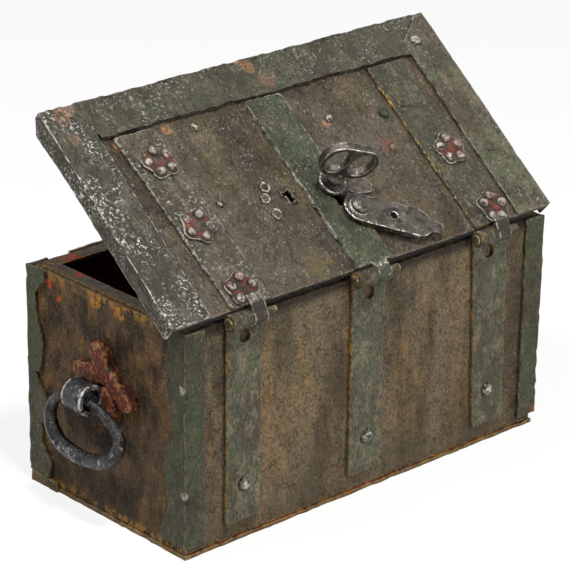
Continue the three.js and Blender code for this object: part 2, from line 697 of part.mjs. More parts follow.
const strapSpan = [-strapIron, 0];
const centrePlate = lidSlab(strapAcross("centre"), strapSpan, [keyhole()]);
const centreStrap = join(centrePlate, lidKnuckle("centre", 0, -strapIron));
lidPieces.add(meshFrom("lid_strap_left", lidSlab(strapAcross("left"), strapSpan), paintedIron));
lidPieces.add(meshFrom("lid_strap_centre", centreStrap, paintedIron));
lidPieces.add(meshFrom("lid_strap_right", lidSlab(strapAcross("right"), strapSpan), paintedIron));

for (const [name, shift] of Object.entries(leafShift)) {
  const flower = rosette(hingeX[name] + shift, leafV, seatGap, 0.5);
  const leaf = join(flower, lidKnuckle(name, seatGap + strapIron, seatGap));
  lidPieces.add(meshFrom(`hinge_leaf_${name}`, leaf, redPaint));
}

const rosettes = [
  ["right", "front", -0.3, 0.2], ["right", "rear", 0.5, 0.9],
  ["left", "front", 1, 0.6], ["left", "rear", -3.1, 0.4],
];
for (const [side, row, shift, turnedBy] of rosettes) {
  const flower = rosette(hingeX[side] + shift, lidRows[row] * lidDepth, seatGap, turnedBy);
  lidPieces.add(meshFrom(`lid_rosette_${side}_${row}`, flower, redPaint));
}

// A small tongue riveted beside the keyhole
const strapEdgeX = hingeX.centre - 0.5 - lidStrapWidth.centre / 2;
const tabHalf = 4.5;
const tabRoot = [strapEdgeX - seatGap - tabHalf - 0.4, keyV - 3.5];
const tabTip = [tabRoot[0] - 6.5, tabRoot[1] - 2.1];
const tab = join(
  lidSlab(capsule(tabRoot, tabTip, tabHalf), strapSpan),
  dome(domeRadius, 0.3, onLid(...tabTip, 0), [0, 0, 1]),
);
lidPieces.add(meshFrom("keyhole_tab", tab, redPaint));

// The key, drawn with its bit and bow along +X, its stem on the Z axis and z = n
function keySolid() {
  const foot = plateFootN - stemBelowPlate;
  const stem = turned([
    [0, foot], [stemRadius, foot], [stemRadius, 1.5], [shoulderRadius, 1.5], [shoulderRadius, 2.6],
    [shoulderRadius - 0.4, 3.5], [3.6, 3], [3.4, 4.2], [4.5, 5.8], [4.5, 7.4], [3.4, bowFoot],
    [2.6, bowFoot + 2.4], [0, bowFoot + 2.4],
  ], [0, 0, 0], [0, 0, 1], 20);
  const bore = rod(boreRadius, [0, 0, foot - 1], [0, 0, -0.6], 16);
  const bitFoot = foot + 1.8;
  const bitTop = bitFoot + bitHeight;
  const bit = block([0, bitReach], [-bitThickness / 2, bitThickness / 2], [bitFoot, bitTop]);
  const wards = [
    block([8, bitReach + 1], [-3, 3], [bitFoot + 1.2, bitFoot + 2.3]),
    block([5.6, 7], [-3, 3], [bitFoot - 1, bitFoot + 2.3]),
  ];
  const middle = bowFoot + bowHeight / 2;
  const bend = (value) => Math.sign(value) * Math.abs(value) ** 0.8;
  const outline = Array.from({ length: 36 }, (_, i) => {
    const turn = (2 * Math.PI * i) / 36;
    const w = (bowWidth / 2) * bend(Math.cos(turn));
    const waist = Math.exp(-((w / 4) ** 2)) * (Math.sin(turn) < 0 ? 0.16 : 0.07);
    return [w, middle + (bowHeight / 2) * bend(Math.sin(turn)) * (1 - waist)];
  });
  const eyeHalf = (bowWidth / 2 - bowBar - 0.8) / 2;
  const eyeRise = bowHeight / 2 - bowBar - 0.9;
  const eyes = [-1, 1].map((side) => Array.from({ length: 18 }, (_, i) => {
    const turn = (2 * Math.PI * i) / 18;
    return [side * (0.8 + eyeHalf) + eyeHalf * Math.cos(turn), middle + eyeRise * Math.sin(turn)];
  }));
  const bow = slab("xz", outline, [-bowDepth / 2, bowDepth / 2], eyes);
  return cut(join(cut(join(stem, bit), bore), bow), ...wards);
}

const key = meshFrom("key", keySolid(), brightIron);
key.position.set(...onLid(keyX, keyV, 0));
key.rotation.z = THREE.MathUtils.degToRad(keyRestAngle);
lidPieces.add(key);

// The keyhole cover, drawn along +X from its rivet, with bent-down sides, and z = n
function coverSolid() {
  const [half, headRadius, tipRadius] = [coverWidth / 2, 8.2, 3.4];
  const shoulder = coverLength - 9;
  const tipCentre = coverLength - tipRadius;
  const head = Array.from({ length: 9 }, (_, i) => {
    const turn = Math.PI / 2 + (Math.PI * i) / 8;
    return [headRadius * Math.cos(turn), headRadius * Math.sin(turn)];
  });
  const nose = Array.from({ length: 7 }, (_, i) => {
    const turn = -Math.PI / 2 + (Math.PI * i) / 6;
    return [tipCentre + tipRadius * Math.cos(turn), tipRadius * Math.sin(turn)];
  });
  const outline = [
    ...head, [3, -half], [shoulder - 5, -half], [shoulder - 1, -half + 1.6], [shoulder + 2.4, -tipRadius],
    ...nose, [shoulder + 2.4, tipRadius], [shoulder - 1, half - 1.6], [shoulder - 5, half], [3, half],
  ];
  const holes = [circle(19, 0.2, 2, 12), circle(0, 0, coverPinRadius + seatGap, 16)];
  const plate = slab("xy", outline, [coverRise, coverRise + coverIron], holes);
  const top = coverRise + coverIron;
  const raised = [
    [0, coverRise + 0.5], [6.2, coverRise + 0.5], [6.2, top], [5.4, top + coverStep], [0, top + coverStep],
  ];
  const step = cut(
    turned(raised, [0, 0, 0], [0, 0, 1], 16),
    rod(coverPinRadius + seatGap, [0, 0, 0], [0, 0, 9], 16),
  );
  const sides = [-1, 1].map((side) => block(
    [2, shoulder - 5],
    [side * half, side * (half - 1.4)].sort((a, b) => a - b),
    [0.7, coverRise + 0.5],
  ));
  return join(plate, step, ...sides);
}

const cover = meshFrom("keyhole_cover", coverSolid(), brightIron);
cover.position.set(...onLid(coverX, coverV, 0));
cover.rotation.z = THREE.MathUtils.degToRad(coverAngle);
lidPieces.add(cover);

// The cover's rivet: a collar it turns on, the shank and a domed head
const headFoot = coverRise + coverIron + coverStep + seatGap;
const collar = 4.2;
const coverRivet = turned([
  [0, seatGap], [collar, seatGap], [collar, coverRise - seatGap], [coverPinRadius, coverRise - seatGap],
  [coverPinRadius, headFoot], [collar, headFoot], [collar - 0.8, headFoot + 0.9], [1.8, headFoot + 1.3],
  [0, headFoot + 1.4],
], onLid(coverX, coverV, 0), [0, 0, 1], 16);
lidPieces.add(meshFrom("cover_rivet", coverRivet, brightIron));

// The lock's slide: a plate with the window that the key's bit turns in, a notch that the bit
// pushes, two tongues at the front, and a sloping slot for each side bolt's pin
const rimInnerFace = rimY - rimIron;
const tongueTip = lidRearY + rimInnerFace - tipPlay - boltTravel;
function slideSolid() {
  const rear = slideRearWidth / 2;
  const front = slideFrontWidth / 2;
  const middleV = keyV - boltTravel / 2;
  const [rearV, stepV, frontV] = [20, 60, boltV + 7];
  const spread = tongueSpread;
  const half = tongueWidth / 2;
  const outline = [
    [-rear, rearV], [rear, rearV], [rear, stepV], [front, stepV], [front, frontV], [spread + half, frontV],
    [spread + half, tongueTip], [spread - half, tongueTip], [spread - half, frontV], [-spread + half, frontV],
    [-spread + half, tongueTip], [-spread - half, tongueTip], [-spread - half, frontV], [-front, frontV],
    [-front, stepV], [-rear, stepV],
  ];
  const notchHalf = bitThickness / 2 + 0.75;
  const [notchX, windowX] = [-bitReach - 0.7, bitReach + 0.8];
  const [windowRear, windowFront] = [middleV - 16.8, middleV + 8.5];
  const window = [
    [-leverReach, windowRear], [windowX, windowRear], [windowX, windowFront], [-leverReach, windowFront],
    [-leverReach, middleV + notchHalf], [notchX, middleV + notchHalf], [notchX, middleV - notchHalf],
    [-leverReach, middleV - notchHalf],
  ];
  const slots = [-1, 1].map((side) => capsule(
    [side * boltPinSpread, boltV],
    [side * (boltPinSpread + boltTravel), boltV - boltTravel],
    boltPinRadius + seatGap,
  ));
  const place = (points) => points.map(([x, v]) => [x + keyX, v]);
  return lidSlab(place(outline), [slideFoot - lidTopZ, slideTop - lidTopZ], [window, ...slots].map(place));
}

// A side bolt: a bar under the slide with a pin up through its slot, stepped up to the slide's
// level before it reaches the rim
const stepX = 60;
function sideBolt(side) {
  const half = tongueWidth / 2;
  const [low, high] = [slideFoot - seatGap - slideIron, slideFoot];
  const pinX = keyX + side * boltPinSpread;
  const tip = side * (rimX - rimIron - 1.3 - boltTravel);
  const along = [
    [pinX - side * 5, low], [side * stepX, low], [side * (stepX + 3.3), high], [tip, high],
    [tip, high + slideIron], [side * (stepX + 1.8), high + slideIron], [side * (stepX - 1.5), low + slideIron],
    [pinX - side * 5, low + slideIron],
  ];
  const bar = slab("xz", along, [lidRearY - boltV - half, lidRearY - boltV + half]);
  const pin = rod(boltPinRadius, [pinX, lidRearY - boltV, low + 0.5], [pinX, lidRearY - boltV, slideTop + 0.9]);
  return join(bar, pin);
}

// A keeper: a hat-shaped strap under the lid plate that a bar of this width slides through.
// It is drawn across the bar and thickened along it
function keeper(plane, across, along, width, barFoot) {
  const inner = width / 2 + seatGap;
  const outer = inner + keeperIron;
  const toe = outer + 5;
  const [foot, shelf] = [barFoot - seatGap - keeperIron, keeperTop - keeperIron];
  const outline = [
    [-toe, keeperTop], [-inner, keeperTop], [-inner, foot + keeperIron], [inner, foot + keeperIron],
    [inner, keeperTop], [toe, keeperTop], [toe, shelf], [outer, shelf], [outer, foot], [-outer, foot],
    [-outer, shelf], [-toe, shelf],
  ];
  const span = [along - keeperDepth / 2, along + keeperDepth / 2];
  return slab(plane, outline.map(([a, z]) => [a + across, z]), span);
}

lidPieces.add(meshFrom("lock_slide", slideSolid(), lockIron));
for (const [name, side] of [["left", -1], ["right", 1]]) {
  const high = slideFoot;
  const low = slideFoot - seatGap - slideIron;
  const boltY = lidRearY - boltV;
  const tongueX = keyX + side * tongueSpread;
  const tongueY = lidRearY - tongueTip + 4.5;
  const keepers = {
    bolt_keeper_inner: keeper("yz", boltY, side * boltKeeperInner, tongueWidth, low),
    bolt_keeper_outer: keeper("yz", boltY, side * (halfLength - boltKeeperInset), tongueWidth, high),
    tongue_keeper: keeper("xz", tongueX, tongueY, tongueWidth, slideFoot),
  };
  lidPieces.add(meshFrom(`side_bolt_${name}`, sideBolt(side), brightIron));
  for (const [kind, solid] of Object.entries(keepers)) {
    lidPieces.add(meshFrom(`${kind}_${name}`, solid, lockIron));
  }
}

// The bridge that carries the drill pin under the key
const bridgeFoot = lidTopZ + plateFootN - bridgeDrop;
function bridgeSolid() {
  const inner = slideRearWidth / 2 + 1.2;
  const outer = inner + bridgeIron;
  const toe = outer + 6;
  const shelf = keeperTop - bridgeIron;
  const outline = [
    [-toe, keeperTop], [-inner, keeperTop], [-inner, bridgeFoot + bridgeIron],
    [inner, bridgeFoot + bridgeIron], [inner, keeperTop], [toe, keeperTop], [toe, shelf], [outer, shelf],
    [outer, bridgeFoot], [-outer, bridgeFoot], [-outer, shelf], [-toe, shelf],
  ];
  const span = [lidRearY - keyV - bridgeDepth / 2, lidRearY - keyV + bridgeDepth / 2];
  return slab("xz", outline.map(([x, z]) => [x + keyX, z]), span);
}

const keyY = lidRearY - keyV;
const pinFoot = bridgeFoot + bridgeIron + seatGap;
const drillPin = rod(boreRadius - seatGap, [keyX, keyY, pinFoot], [keyX, keyY, lidTopZ - 1.2], 16);
lidPieces.add(meshFrom("lock_bridge", bridgeSolid(), lockIron));
lidPieces.add(meshFrom("drill_pin", drillPin, brightIron));

// A leaf spring that bears on the slide's side
function springSolid() {
  const edge = keyX + slideRearWidth / 2 + seatGap;
  const route = new THREE.QuadraticBezierCurve(
    new THREE.Vector2(edge + 9, 22), new THREE.Vector2(edge - 2.5, 25), new THREE.Vector2(edge + 2.6, 35.6),
  ).getPoints(8);
  const near = route.map((p) => [p.x, p.y]);
  const far = route.reverse().map((p) => [p.x + springIron, p.y - springIron * 0.3]);
  const strip = lidSlab([...near, ...far], [slideFoot - lidTopZ + 0.2, slideTop - lidTopZ - 0.2]);
  const footOutline = rectangle(edge + 7.6, edge + 7.6 + springFoot, 18.6, 18.6 + springFoot);
  const foot = lidSlab(footOutline, [slideFoot - lidTopZ + 0.2, keeperTop - lidTopZ]);
  return join(strip, foot);
}

lidPieces.add(meshFrom("bolt_spring", springSolid(), brightIron));

export default casket;
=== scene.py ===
# %% [markdown]
# An old iron casket, open by a third of its travel, with its key in the lid. The CAD model is the
# fixed frame: every piece below is made in metres, where the CAD says it sits, and rides on the
# CAD body that it belongs to. Nothing in the frame is moved.

# %% Load the frame
import json
import math

import bmesh
import bpy
import numpy as np
from mathutils import Matrix, Vector
from mathutils.bvhtree import BVHTree
from mathutils.kdtree import KDTree


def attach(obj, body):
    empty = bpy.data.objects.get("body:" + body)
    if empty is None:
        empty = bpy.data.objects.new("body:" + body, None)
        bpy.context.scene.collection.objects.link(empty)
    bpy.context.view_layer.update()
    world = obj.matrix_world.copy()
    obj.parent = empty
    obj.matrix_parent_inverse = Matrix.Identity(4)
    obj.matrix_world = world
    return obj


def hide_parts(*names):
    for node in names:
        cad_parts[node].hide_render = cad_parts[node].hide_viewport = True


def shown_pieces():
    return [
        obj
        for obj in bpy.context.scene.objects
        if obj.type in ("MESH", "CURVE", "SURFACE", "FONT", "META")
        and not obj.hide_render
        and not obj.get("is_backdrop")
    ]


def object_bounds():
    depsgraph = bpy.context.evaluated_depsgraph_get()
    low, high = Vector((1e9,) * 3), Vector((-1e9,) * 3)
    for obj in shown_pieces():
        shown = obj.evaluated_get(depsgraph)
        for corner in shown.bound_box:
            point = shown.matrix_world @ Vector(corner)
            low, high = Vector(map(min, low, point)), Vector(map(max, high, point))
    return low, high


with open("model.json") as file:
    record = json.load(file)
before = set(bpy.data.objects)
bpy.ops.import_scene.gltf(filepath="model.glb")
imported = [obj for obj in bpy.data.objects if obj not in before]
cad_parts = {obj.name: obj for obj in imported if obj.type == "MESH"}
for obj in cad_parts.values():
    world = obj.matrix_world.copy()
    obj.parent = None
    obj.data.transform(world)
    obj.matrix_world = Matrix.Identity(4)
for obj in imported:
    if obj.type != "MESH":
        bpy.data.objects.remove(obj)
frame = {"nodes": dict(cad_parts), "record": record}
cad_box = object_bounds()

MM = 0.001


def new_object(name, data):
    """A new object, linked to the scene."""
    made = bpy.data.objects.new(name, data)
    bpy.context.collection.objects.link(made)
    return made


# %% [markdown]
# The photograph was taken with a long lens from behind the casket's right rear corner, so its
# long edges stay almost parallel. A camera could be found by eye. Here its angles, distance and
# lens were solved from the corners of the box, so they are odd numbers.

# %% Camera
AZIMUTH, ELEVATION, ROLL = (math.radians(a) for a in (137.284, 22.360, 0.9016))
EYE = Vector((0.889731, 0.959264, 0.628981))
back = Vector((
    math.sin(AZIMUTH) * math.cos(ELEVATION),
    -math.cos(AZIMUTH) * math.cos(ELEVATION),
    math.sin(ELEVATION),
))
level = Vector((math.cos(AZIMUTH), math.sin(AZIMUTH), 0))
steep = back.cross(level)
right = level * math.cos(ROLL) + steep * math.sin(ROLL)
up = steep * math.cos(ROLL) - level * math.sin(ROLL)
camera = new_object("camera", bpy.data.cameras.new("camera"))
camera.data.sensor_width = 36
camera.data.lens = 179.33
camera.matrix_world = Matrix.Translation(EYE) @ Matrix((right, up, back)).transposed().to_4x4()
bpy.context.scene.camera = camera
bpy.context.scene.view_settings.view_transform = "Standard"
print("lens", round(camera.data.lens, 1))

# %% [markdown]
# Colours are written as the hex values that a picture editor would show. The renderer works with
# linear light, so one function turns them. Another one adds a shader node, sets its values and
# joins its links.

# %% Colours and nodes
def linear(code):
    """An sRGB hex code as a linear colour."""
    shares = [int(code[i:i + 2], 16) / 255 for i in (0, 2, 4)]
    return tuple(c / 12.92 if c <= 0.04045 else ((c + 0.055) / 1.055) ** 2.4 for c in shares) + (1.0,)


def surface(name):
    """A new material without nodes, and its node tree."""
    made = bpy.data.materials.new(name)
    made.use_nodes = True
    made.node_tree.nodes.clear()
    return made, made.node_tree


def add(tree, kind, inputs=None, **settings):
    """Adds a node with these settings. Each input is a value, or another node's output to link."""
    made = tree.nodes.new("ShaderNode" + kind)
    for name, value in settings.items():
        setattr(made, name, value)
    for name, value in (inputs or {}).items():
        if isinstance(value, bpy.types.NodeSocket):
            tree.links.new(value, made.inputs[name])
        else:
            made.inputs[name].default_value = value
    return made.outputs


print("brown panel", [round(c, 3) for c in linear("574c40")])

# %% [markdown]
# The photograph is a plain studio shot on white. Lamps that make the ground white would bleach the
# casket. Here the camera, and metal that mirrors them, see ground and room as white. A fifth of
# the ground still answers to light, for the shadow.

# %% White ground and room
GROUND_HALF = 6
WHITE_SHARE = 0.8
ROOM_LIGHT = 0.13


def seen(tree):
    """1 for the rays that see the studio: the camera's, and those off metal or through glass."""
    path = add(tree, "LightPath")
    kinds = {0: path["Is Glossy Ray"], 1: path["Is Transmission Ray"]}
    sent_on = add(tree, "Math", kinds, operation="MAXIMUM")[0]
    return add(tree, "Math", {0: path["Is Camera Ray"], 1: sent_on}, operation="MAXIMUM")[0]


def lay_ground():
    """A sheet of matt paper: it gives the eye an even white, a soft shadow and no shine."""
    mesh = bpy.data.meshes.new("floor")
    corners = [(x * GROUND_HALF, y * GROUND_HALF, 0) for x, y in ((-1, -1), (1, -1), (1, 1), (-1, 1))]
    mesh.from_pydata(corners, [], [(0, 1, 2, 3)])
    floor = new_object("floor", mesh)
    paper, tree = surface("pale_paper_ground")
    lit = add(tree, "BsdfDiffuse", {"Color": linear("ececea")})[0]
    white = add(tree, "Emission", {"Color": linear("ffffff"), "Strength": 1.0})[0]
    share = add(tree, "Math", {0: seen(tree), 1: WHITE_SHARE}, operation="MULTIPLY")[0]
    ground = add(tree, "MixShader", {0: share, 1: lit, 2: white})[0]
    add(tree, "OutputMaterial", {"Surface": ground})
    mesh.materials.append(paper)
    floor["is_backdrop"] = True


def build_room():
    world = bpy.data.worlds.new("studio")
    world.use_nodes = True
    tree = world.node_tree
    tree.nodes.clear()
    room = add(tree, "Background", {"Color": linear("f4f6fa"), "Strength": ROOM_LIGHT})[0]
    white = add(tree, "Background", {"Color": linear("ffffff"), "Strength": 1.0})[0]
    shown = add(tree, "MixShader", {0: seen(tree), 1: room, 2: white})[0]
    add(tree, "OutputWorld", {"Surface": shown})
    bpy.context.scene.world = world


lay_ground()
build_room()
print("ground", 2 * GROUND_HALF, "m wide")

# %% [markdown]
# Three round softboxes: one above the wall with the hinges, one for the end with the ring, and one
# that fills in from the right. The photograph's highlights are crisp, so the lamps are small.
# Their watts render a colour about as bright as it is written.

# %% Lamps
AIM = Vector((0, 0, 0.08))
# Name, place and width in metres, watts
LAMPS = (
    ("softbox_above", (0.25, 0.7, 1.75), 0.25, 31),
    ("softbox_left", (0.95, -0.25, 1.4), 0.18, 15),
    ("softbox_right", (-0.7, 1.8, 0.85), 0.4, 18),
)
for name, place, width, watts in LAMPS:
    lamp = new_object(name, bpy.data.lights.new(name, "AREA"))
    lamp.data.shape = "DISK"
    lamp.data.size = width
    lamp.data.energy = watts
    lamp.location = place
    lamp.rotation_euler = (AIM - Vector(place)).to_track_quat("-Z", "Y").to_euler()
print("lamps", len(LAMPS), "watts", sum(watts for *_, watts in LAMPS))

# %% [markdown]
# Places on the lid are easiest to give as the smith would: x along the casket, v from the hinge
# edge towards the front, n above the straps. The lid stands 39 degrees open, so one function
# turns such a place into the frame, and another turns points of the frame back.

# %% The lid's own measures
OPEN = math.radians(39)
# The hinge axis in millimetres, and how far from it v and n start
HINGE_Y, HINGE_Z = 61.8, 116.2
REAR_V, TOP_N = -4.8, 4.0


def on_lid(x, v, n):
    dy, dz = REAR_V - v, TOP_N + n
    y = HINGE_Y + math.cos(OPEN) * dy + math.sin(OPEN) * dz
    z = HINGE_Z - math.sin(OPEN) * dy + math.cos(OPEN) * dz
    return Vector((x, y, z)) * MM


def lid_frame(points):
    y, z = points[:, 1] / MM - HINGE_Y, points[:, 2] / MM - HINGE_Z
    dy = math.cos(OPEN) * y - math.sin(OPEN) * z
    dz = math.sin(OPEN) * y + math.cos(OPEN) * z
    return np.stack([points[:, 0] / MM, REAR_V - dy, dz - TOP_N], axis=1)


LID_N = (on_lid(0, 0, 1) - on_lid(0, 0, 0)).normalized()
LID_V = (on_lid(0, 1, 0) - on_lid(0, 0, 0)).normalized()
print("lid normal", [round(c, 3) for c in LID_N])

# %% [markdown]
# A finish is a stack of patterns, each with a real size. A noise gives the blots, and a soft step
# says where they show. A picture of rust would be quicker, but a noise has no seams and keeps its
# size in millimetres. One pixel of the photograph covers about 0.6 mm, so what is finer on real
# iron is drawn about 1 mm large.

# %% Patterns in millimetres
def object_place(tree, lid=False, along=1):
    """Where a point is. Below 1, along draws patterns out, down the walls or down the lid's slope."""
    here = add(tree, "TexCoord")["Object"]
    turned = add(tree, "Mapping", {"Vector": here, "Rotation": (OPEN if lid else 0.0, 0, 0)})[0]
    return add(tree, "Mapping", {"Vector": turned, "Scale": (1, along, 1) if lid else (1, 1, along)})[0]


def where(tree, value, low, high, within=None):
    """Goes softly from 0 to 1 as a value goes from low to high, and stays within another mask."""
    step = add(tree, "MapRange", {0: value, 1: low, 2: high}, interpolation_type="SMOOTHSTEP")[0]
    if within is None:
        return step
    return add(tree, "Math", {0: step, 1: within}, operation="MULTIPLY")[0]


def patches(tree, place, size, low, high, seed=0.0, detail=4, within=None):
    """Blots about this many millimetres across. They cover less where low and high are higher."""
    shifted = add(tree, "VectorMath", {0: place, 1: (seed, seed * 0.7, seed * 1.3)}, operation="ADD")[0]
    noise = {"Vector": shifted, "Scale": 1000 / size, "Detail": detail, "Roughness": 0.6}
    return where(tree, add(tree, "TexNoise", noise)[0], low, high, within)


def gritty(tree, relief, depth, grain, size, matt, smooth):
    """Height and roughness of a relief with grit on it, which is rubbed smooth on top."""
    noise = {"Vector": grain, "Scale": 1000 / size, "Detail": 3.0, "Roughness": 0.6}
    grit = add(tree, "TexNoise", noise)[0]
    height = add(tree, "Math", {0: relief, 1: depth, 2: grit}, operation="MULTIPLY_ADD")[0]
    rough = add(tree, "MapRange", {0: grit, 1: 0.3, 2: 0.7, 3: matt, 4: smooth})[0]
    return height, rough


print("noise scale of a 26 mm blot", round(1000 / 26, 1))

# %% [markdown]
# Paint, dirt and rust lie over each other, so a finish is built in coats: a colour, where it shows,
# and how much of it shows there. Single marks of the photograph, such as a rust spot, are round
# spots that a noise frays. The shader mirrors less than Blender's default, because old paint and
# rust are dusty, and the white room would veil them.

# %% Coats, stains and the shader
BUMP_DEPTH = 1.2 * MM
MIRRORING = 0.12
FRAY_SCALE = 260.0
# In radii of a spot: how far it is frayed, and over how much it fades
FRAYED, FADING = 1.4, 0.5


def painted(tree, colour, *coats):
    """Lays coats over a colour. Each is a colour, the mask of its places and its share there."""
    for over, places, share in coats:
        if share != 1:
            places = add(tree, "Math", {0: places, 1: share}, operation="MULTIPLY")[0]
        under, over = (linear(c) if isinstance(c, str) else c for c in (colour, over))
        colour = add(tree, "Mix", {0: places, 6: under, 7: over}, data_type="RGBA")[2]
    return colour


def spot(tree, centre, radius, torn):
    """A round mark of this radius in millimetres, frayed by a noise of about 4 mm and torn by a mask."""
    here = add(tree, "TexCoord")["Object"]
    away = add(tree, "VectorMath", {0: here, 1: centre}, operation="DISTANCE")["Value"]
    fray = add(tree, "TexNoise", {"Vector": here, "Scale": FRAY_SCALE, "Detail": 3.0})[0]
    reach = add(tree, "Math", {0: fray, 1: radius * MM * FRAYED, 2: away}, operation="MULTIPLY_ADD")[0]
    return where(tree, reach, radius * MM * (FRAYED + FADING), radius * MM * FRAYED, torn)


def stained(tree, colour, marks, torn):
    spots = [(code, spot(tree, centre, radius, torn), 1) for centre, radius, code in marks]
    return painted(tree, colour, *spots)


def finish_with(tree, colour, roughness, metallic, height, strength):
    bump = add(tree, "Bump", {"Height": height, "Strength": strength, "Distance": BUMP_DEPTH})[0]
    looks = {"Base Color": colour, "Roughness": roughness, "Metallic": metallic, "Normal": bump}
    shader = add(tree, "BsdfPrincipled", {**looks, "Specular IOR Level": MIRRORING})[0]
    add(tree, "OutputMaterial", {"Surface": shader})


print("bump depth", round(BUMP_DEPTH / MM, 1), "mm")

# %% [markdown]
# The walls and the lid plate are sheet iron that was painted thin and dark, and that has browned
# since. Iron oxide is matt and earthy, from brown-black to ochre, and runs down in streaks along
# the brushing. Real pits and specks are a third of the 0.9 mm here, the smallest that shows.

# %% Browned iron: blots, streaks, pits and specks
def browned_ground(tree, run, zones, grain, plain, zone, base, dark, streak, speck):
    ochre = patches(tree, zones, zone * 0.8, 0.48, 0.64, seed=2)
    worn = patches(tree, plain, 12, 0.42, 0.6, seed=12)
    blots = (dark, patches(tree, zones, zone, 0.42, 0.6), 1)
    ochre_zones = (streak, ochre, 0.2)
    ochre_streaks = (streak, patches(tree, run, 1.1, 0.5, 0.64, seed=1, within=ochre), 0.6)
    thin_streaks = ("8a6a40", patches(tree, run, 0.8, 0.56, 0.68, seed=5), 0.35)
    stains = (dark, patches(tree, plain, 7, 0.5, 0.62, seed=14), 0.35)
    pits = ("231c16", patches(tree, grain, 0.9, 0.52, 0.62, seed=3), 0.65)
    specks = (speck, patches(tree, grain, 0.9, 0.57, 0.65, seed=11, within=worn), 0.6)
    return painted(tree, base, blots, ochre_zones, ochre_streaks, thin_streaks, stains, pits, specks)


print("a streak on a wall is 1.1 by", round(1.1 / 0.06), "mm")

# %% [markdown]
# Paint goes first at the edges. There is a band where it has worn thin, and on the arris itself a
# line of ochre or of bright iron. A bevel node could find the edges, but it is slow and other
# programs don't know it. Here every point keeps its distance to the nearest edge, and every face
# keeps whether the shears cut it, because a cut side never held much paint.

# %% Browned iron: worn edges and cut sides
def browned_edges(tree, colour, plain, edge_reach, worn_edge, arris, cut):
    edge, side = (add(tree, "Attribute", attribute_name=n)["Fac"] for n in ("edge_distance", "cut_side"))
    broken = patches(tree, plain, 4, 0.45, 0.58, seed=4)
    chipped = patches(tree, plain, 3, 0.46, 0.56, seed=16)
    worn_band = (worn_edge, where(tree, edge, edge_reach, edge_reach * 0.15, broken), 0.8)
    arris_line = (arris, where(tree, edge, 0.6, 0.1, chipped), 0.6)
    return painted(tree, colour, worn_band, arris_line, (cut, side, 0.6))


print("ochre arris", [round(c, 3) for c in linear("b09a6e")])

# %% [markdown]
# The whole finish adds what came later, and a painted shade. Dirt gathers along the foot of the
# walls, the paint has cracked into cells of 2.2 mm, and flecks of bare iron, 1.3 mm large, lie in
# clusters of 14 mm. Close under the lid, the top of a wall is darkened as a painted shade. The grit
# is drawn at 1.2 mm, several times coarser than it is.

# %% Browned iron: the whole finish
WALL_FOOT = 50 * MM
UNDER_LID = (108 * MM, 114 * MM)


def browned_iron(
    name, slot="brown_sheet_iron", lid=False, base="6a5c48", dark="483f30", streak="8a6a3c", speck="8f8168",
    bare_share=0.0, edge_reach=1.2, painted_top_shade=0.0, zone=26, upright=0.25, worn_edge="9a7238",
    arris="b09a6e", cut="5e4a2c", marks=(),
):
    material, tree = surface(name)
    drawn_out = (0.1, 0.4, 0.5, 1) if lid else (0.06, upright, 0.75, 1)
    run, zones, grain, plain = (object_place(tree, lid, along) for along in drawn_out)
    colour = browned_ground(tree, run, zones, grain, plain, zone, base, dark, streak, speck)
    if not lid:
        height_here = add(tree, "SeparateXYZ", {0: add(tree, "TexCoord")["Object"]})["Z"]
        damp = patches(tree, zones, 12, 0.3, 0.6, seed=15)
        colour = painted(tree, colour, (dark, where(tree, height_here, WALL_FOOT, 0.0, damp), 0.65))
    cells = {"Vector": grain, "Scale": 1000 / 2.2}
    gap = add(tree, "TexVoronoi", cells, feature="DISTANCE_TO_EDGE")["Distance"]
    cracks = where(tree, gap, 0.1, 0.02, within=patches(tree, plain, 6, 0.45, 0.6, seed=17))
    colour = painted(tree, colour, ("1e1812", cracks, 0.5))
    colour = stained(tree, colour, marks, patches(tree, plain, 2.5, 0.35, 0.6, seed=18))
    colour = browned_edges(tree, colour, plain, edge_reach, worn_edge, arris, cut)
    if not lid:
        # Painted shade: the top of a wall darkens close under the lid
        colour = painted(tree, colour, ("17130f", where(tree, height_here, *UNDER_LID), painted_top_shade))
    clusters = patches(tree, plain, 14, 0.46, 0.58, seed=9, within=bare_share)
    bare = patches(tree, plain, 1.3, 0.6, 0.66, seed=8, within=clusters)
    colour = painted(tree, colour, ("a9a7a0", bare, 1))
    metal = add(tree, "Math", {0: bare, 1: 0.9}, operation="MULTIPLY")[0]
    relief = patches(tree, plain, 3.4, 0.3, 0.7, seed=6)
    height, rough = gritty(tree, relief, 0.9, grain, 1.2, 0.7, 0.44)
    height = add(tree, "Math", {0: cracks, 1: -0.4, 2: height}, operation="MULTIPLY_ADD")[0]
    finish_with(tree, colour, rough, metal, height, 0.8)
    return material, slot


# %% [markdown]
# The same browned iron, three times. The long walls are an even brown, darkened along the top edge
# as a painted shade under the lid. The end walls are darker and blotched, with orange rust by the
# rim, and black below the ring, partly grime where it rubs and partly the ring's painted shadow.
# The lid plate is greyer, with flecks of bare iron and a few rust spots in known places. Black
# round the torn hole is a painted shade that widens the hole's dark inside.

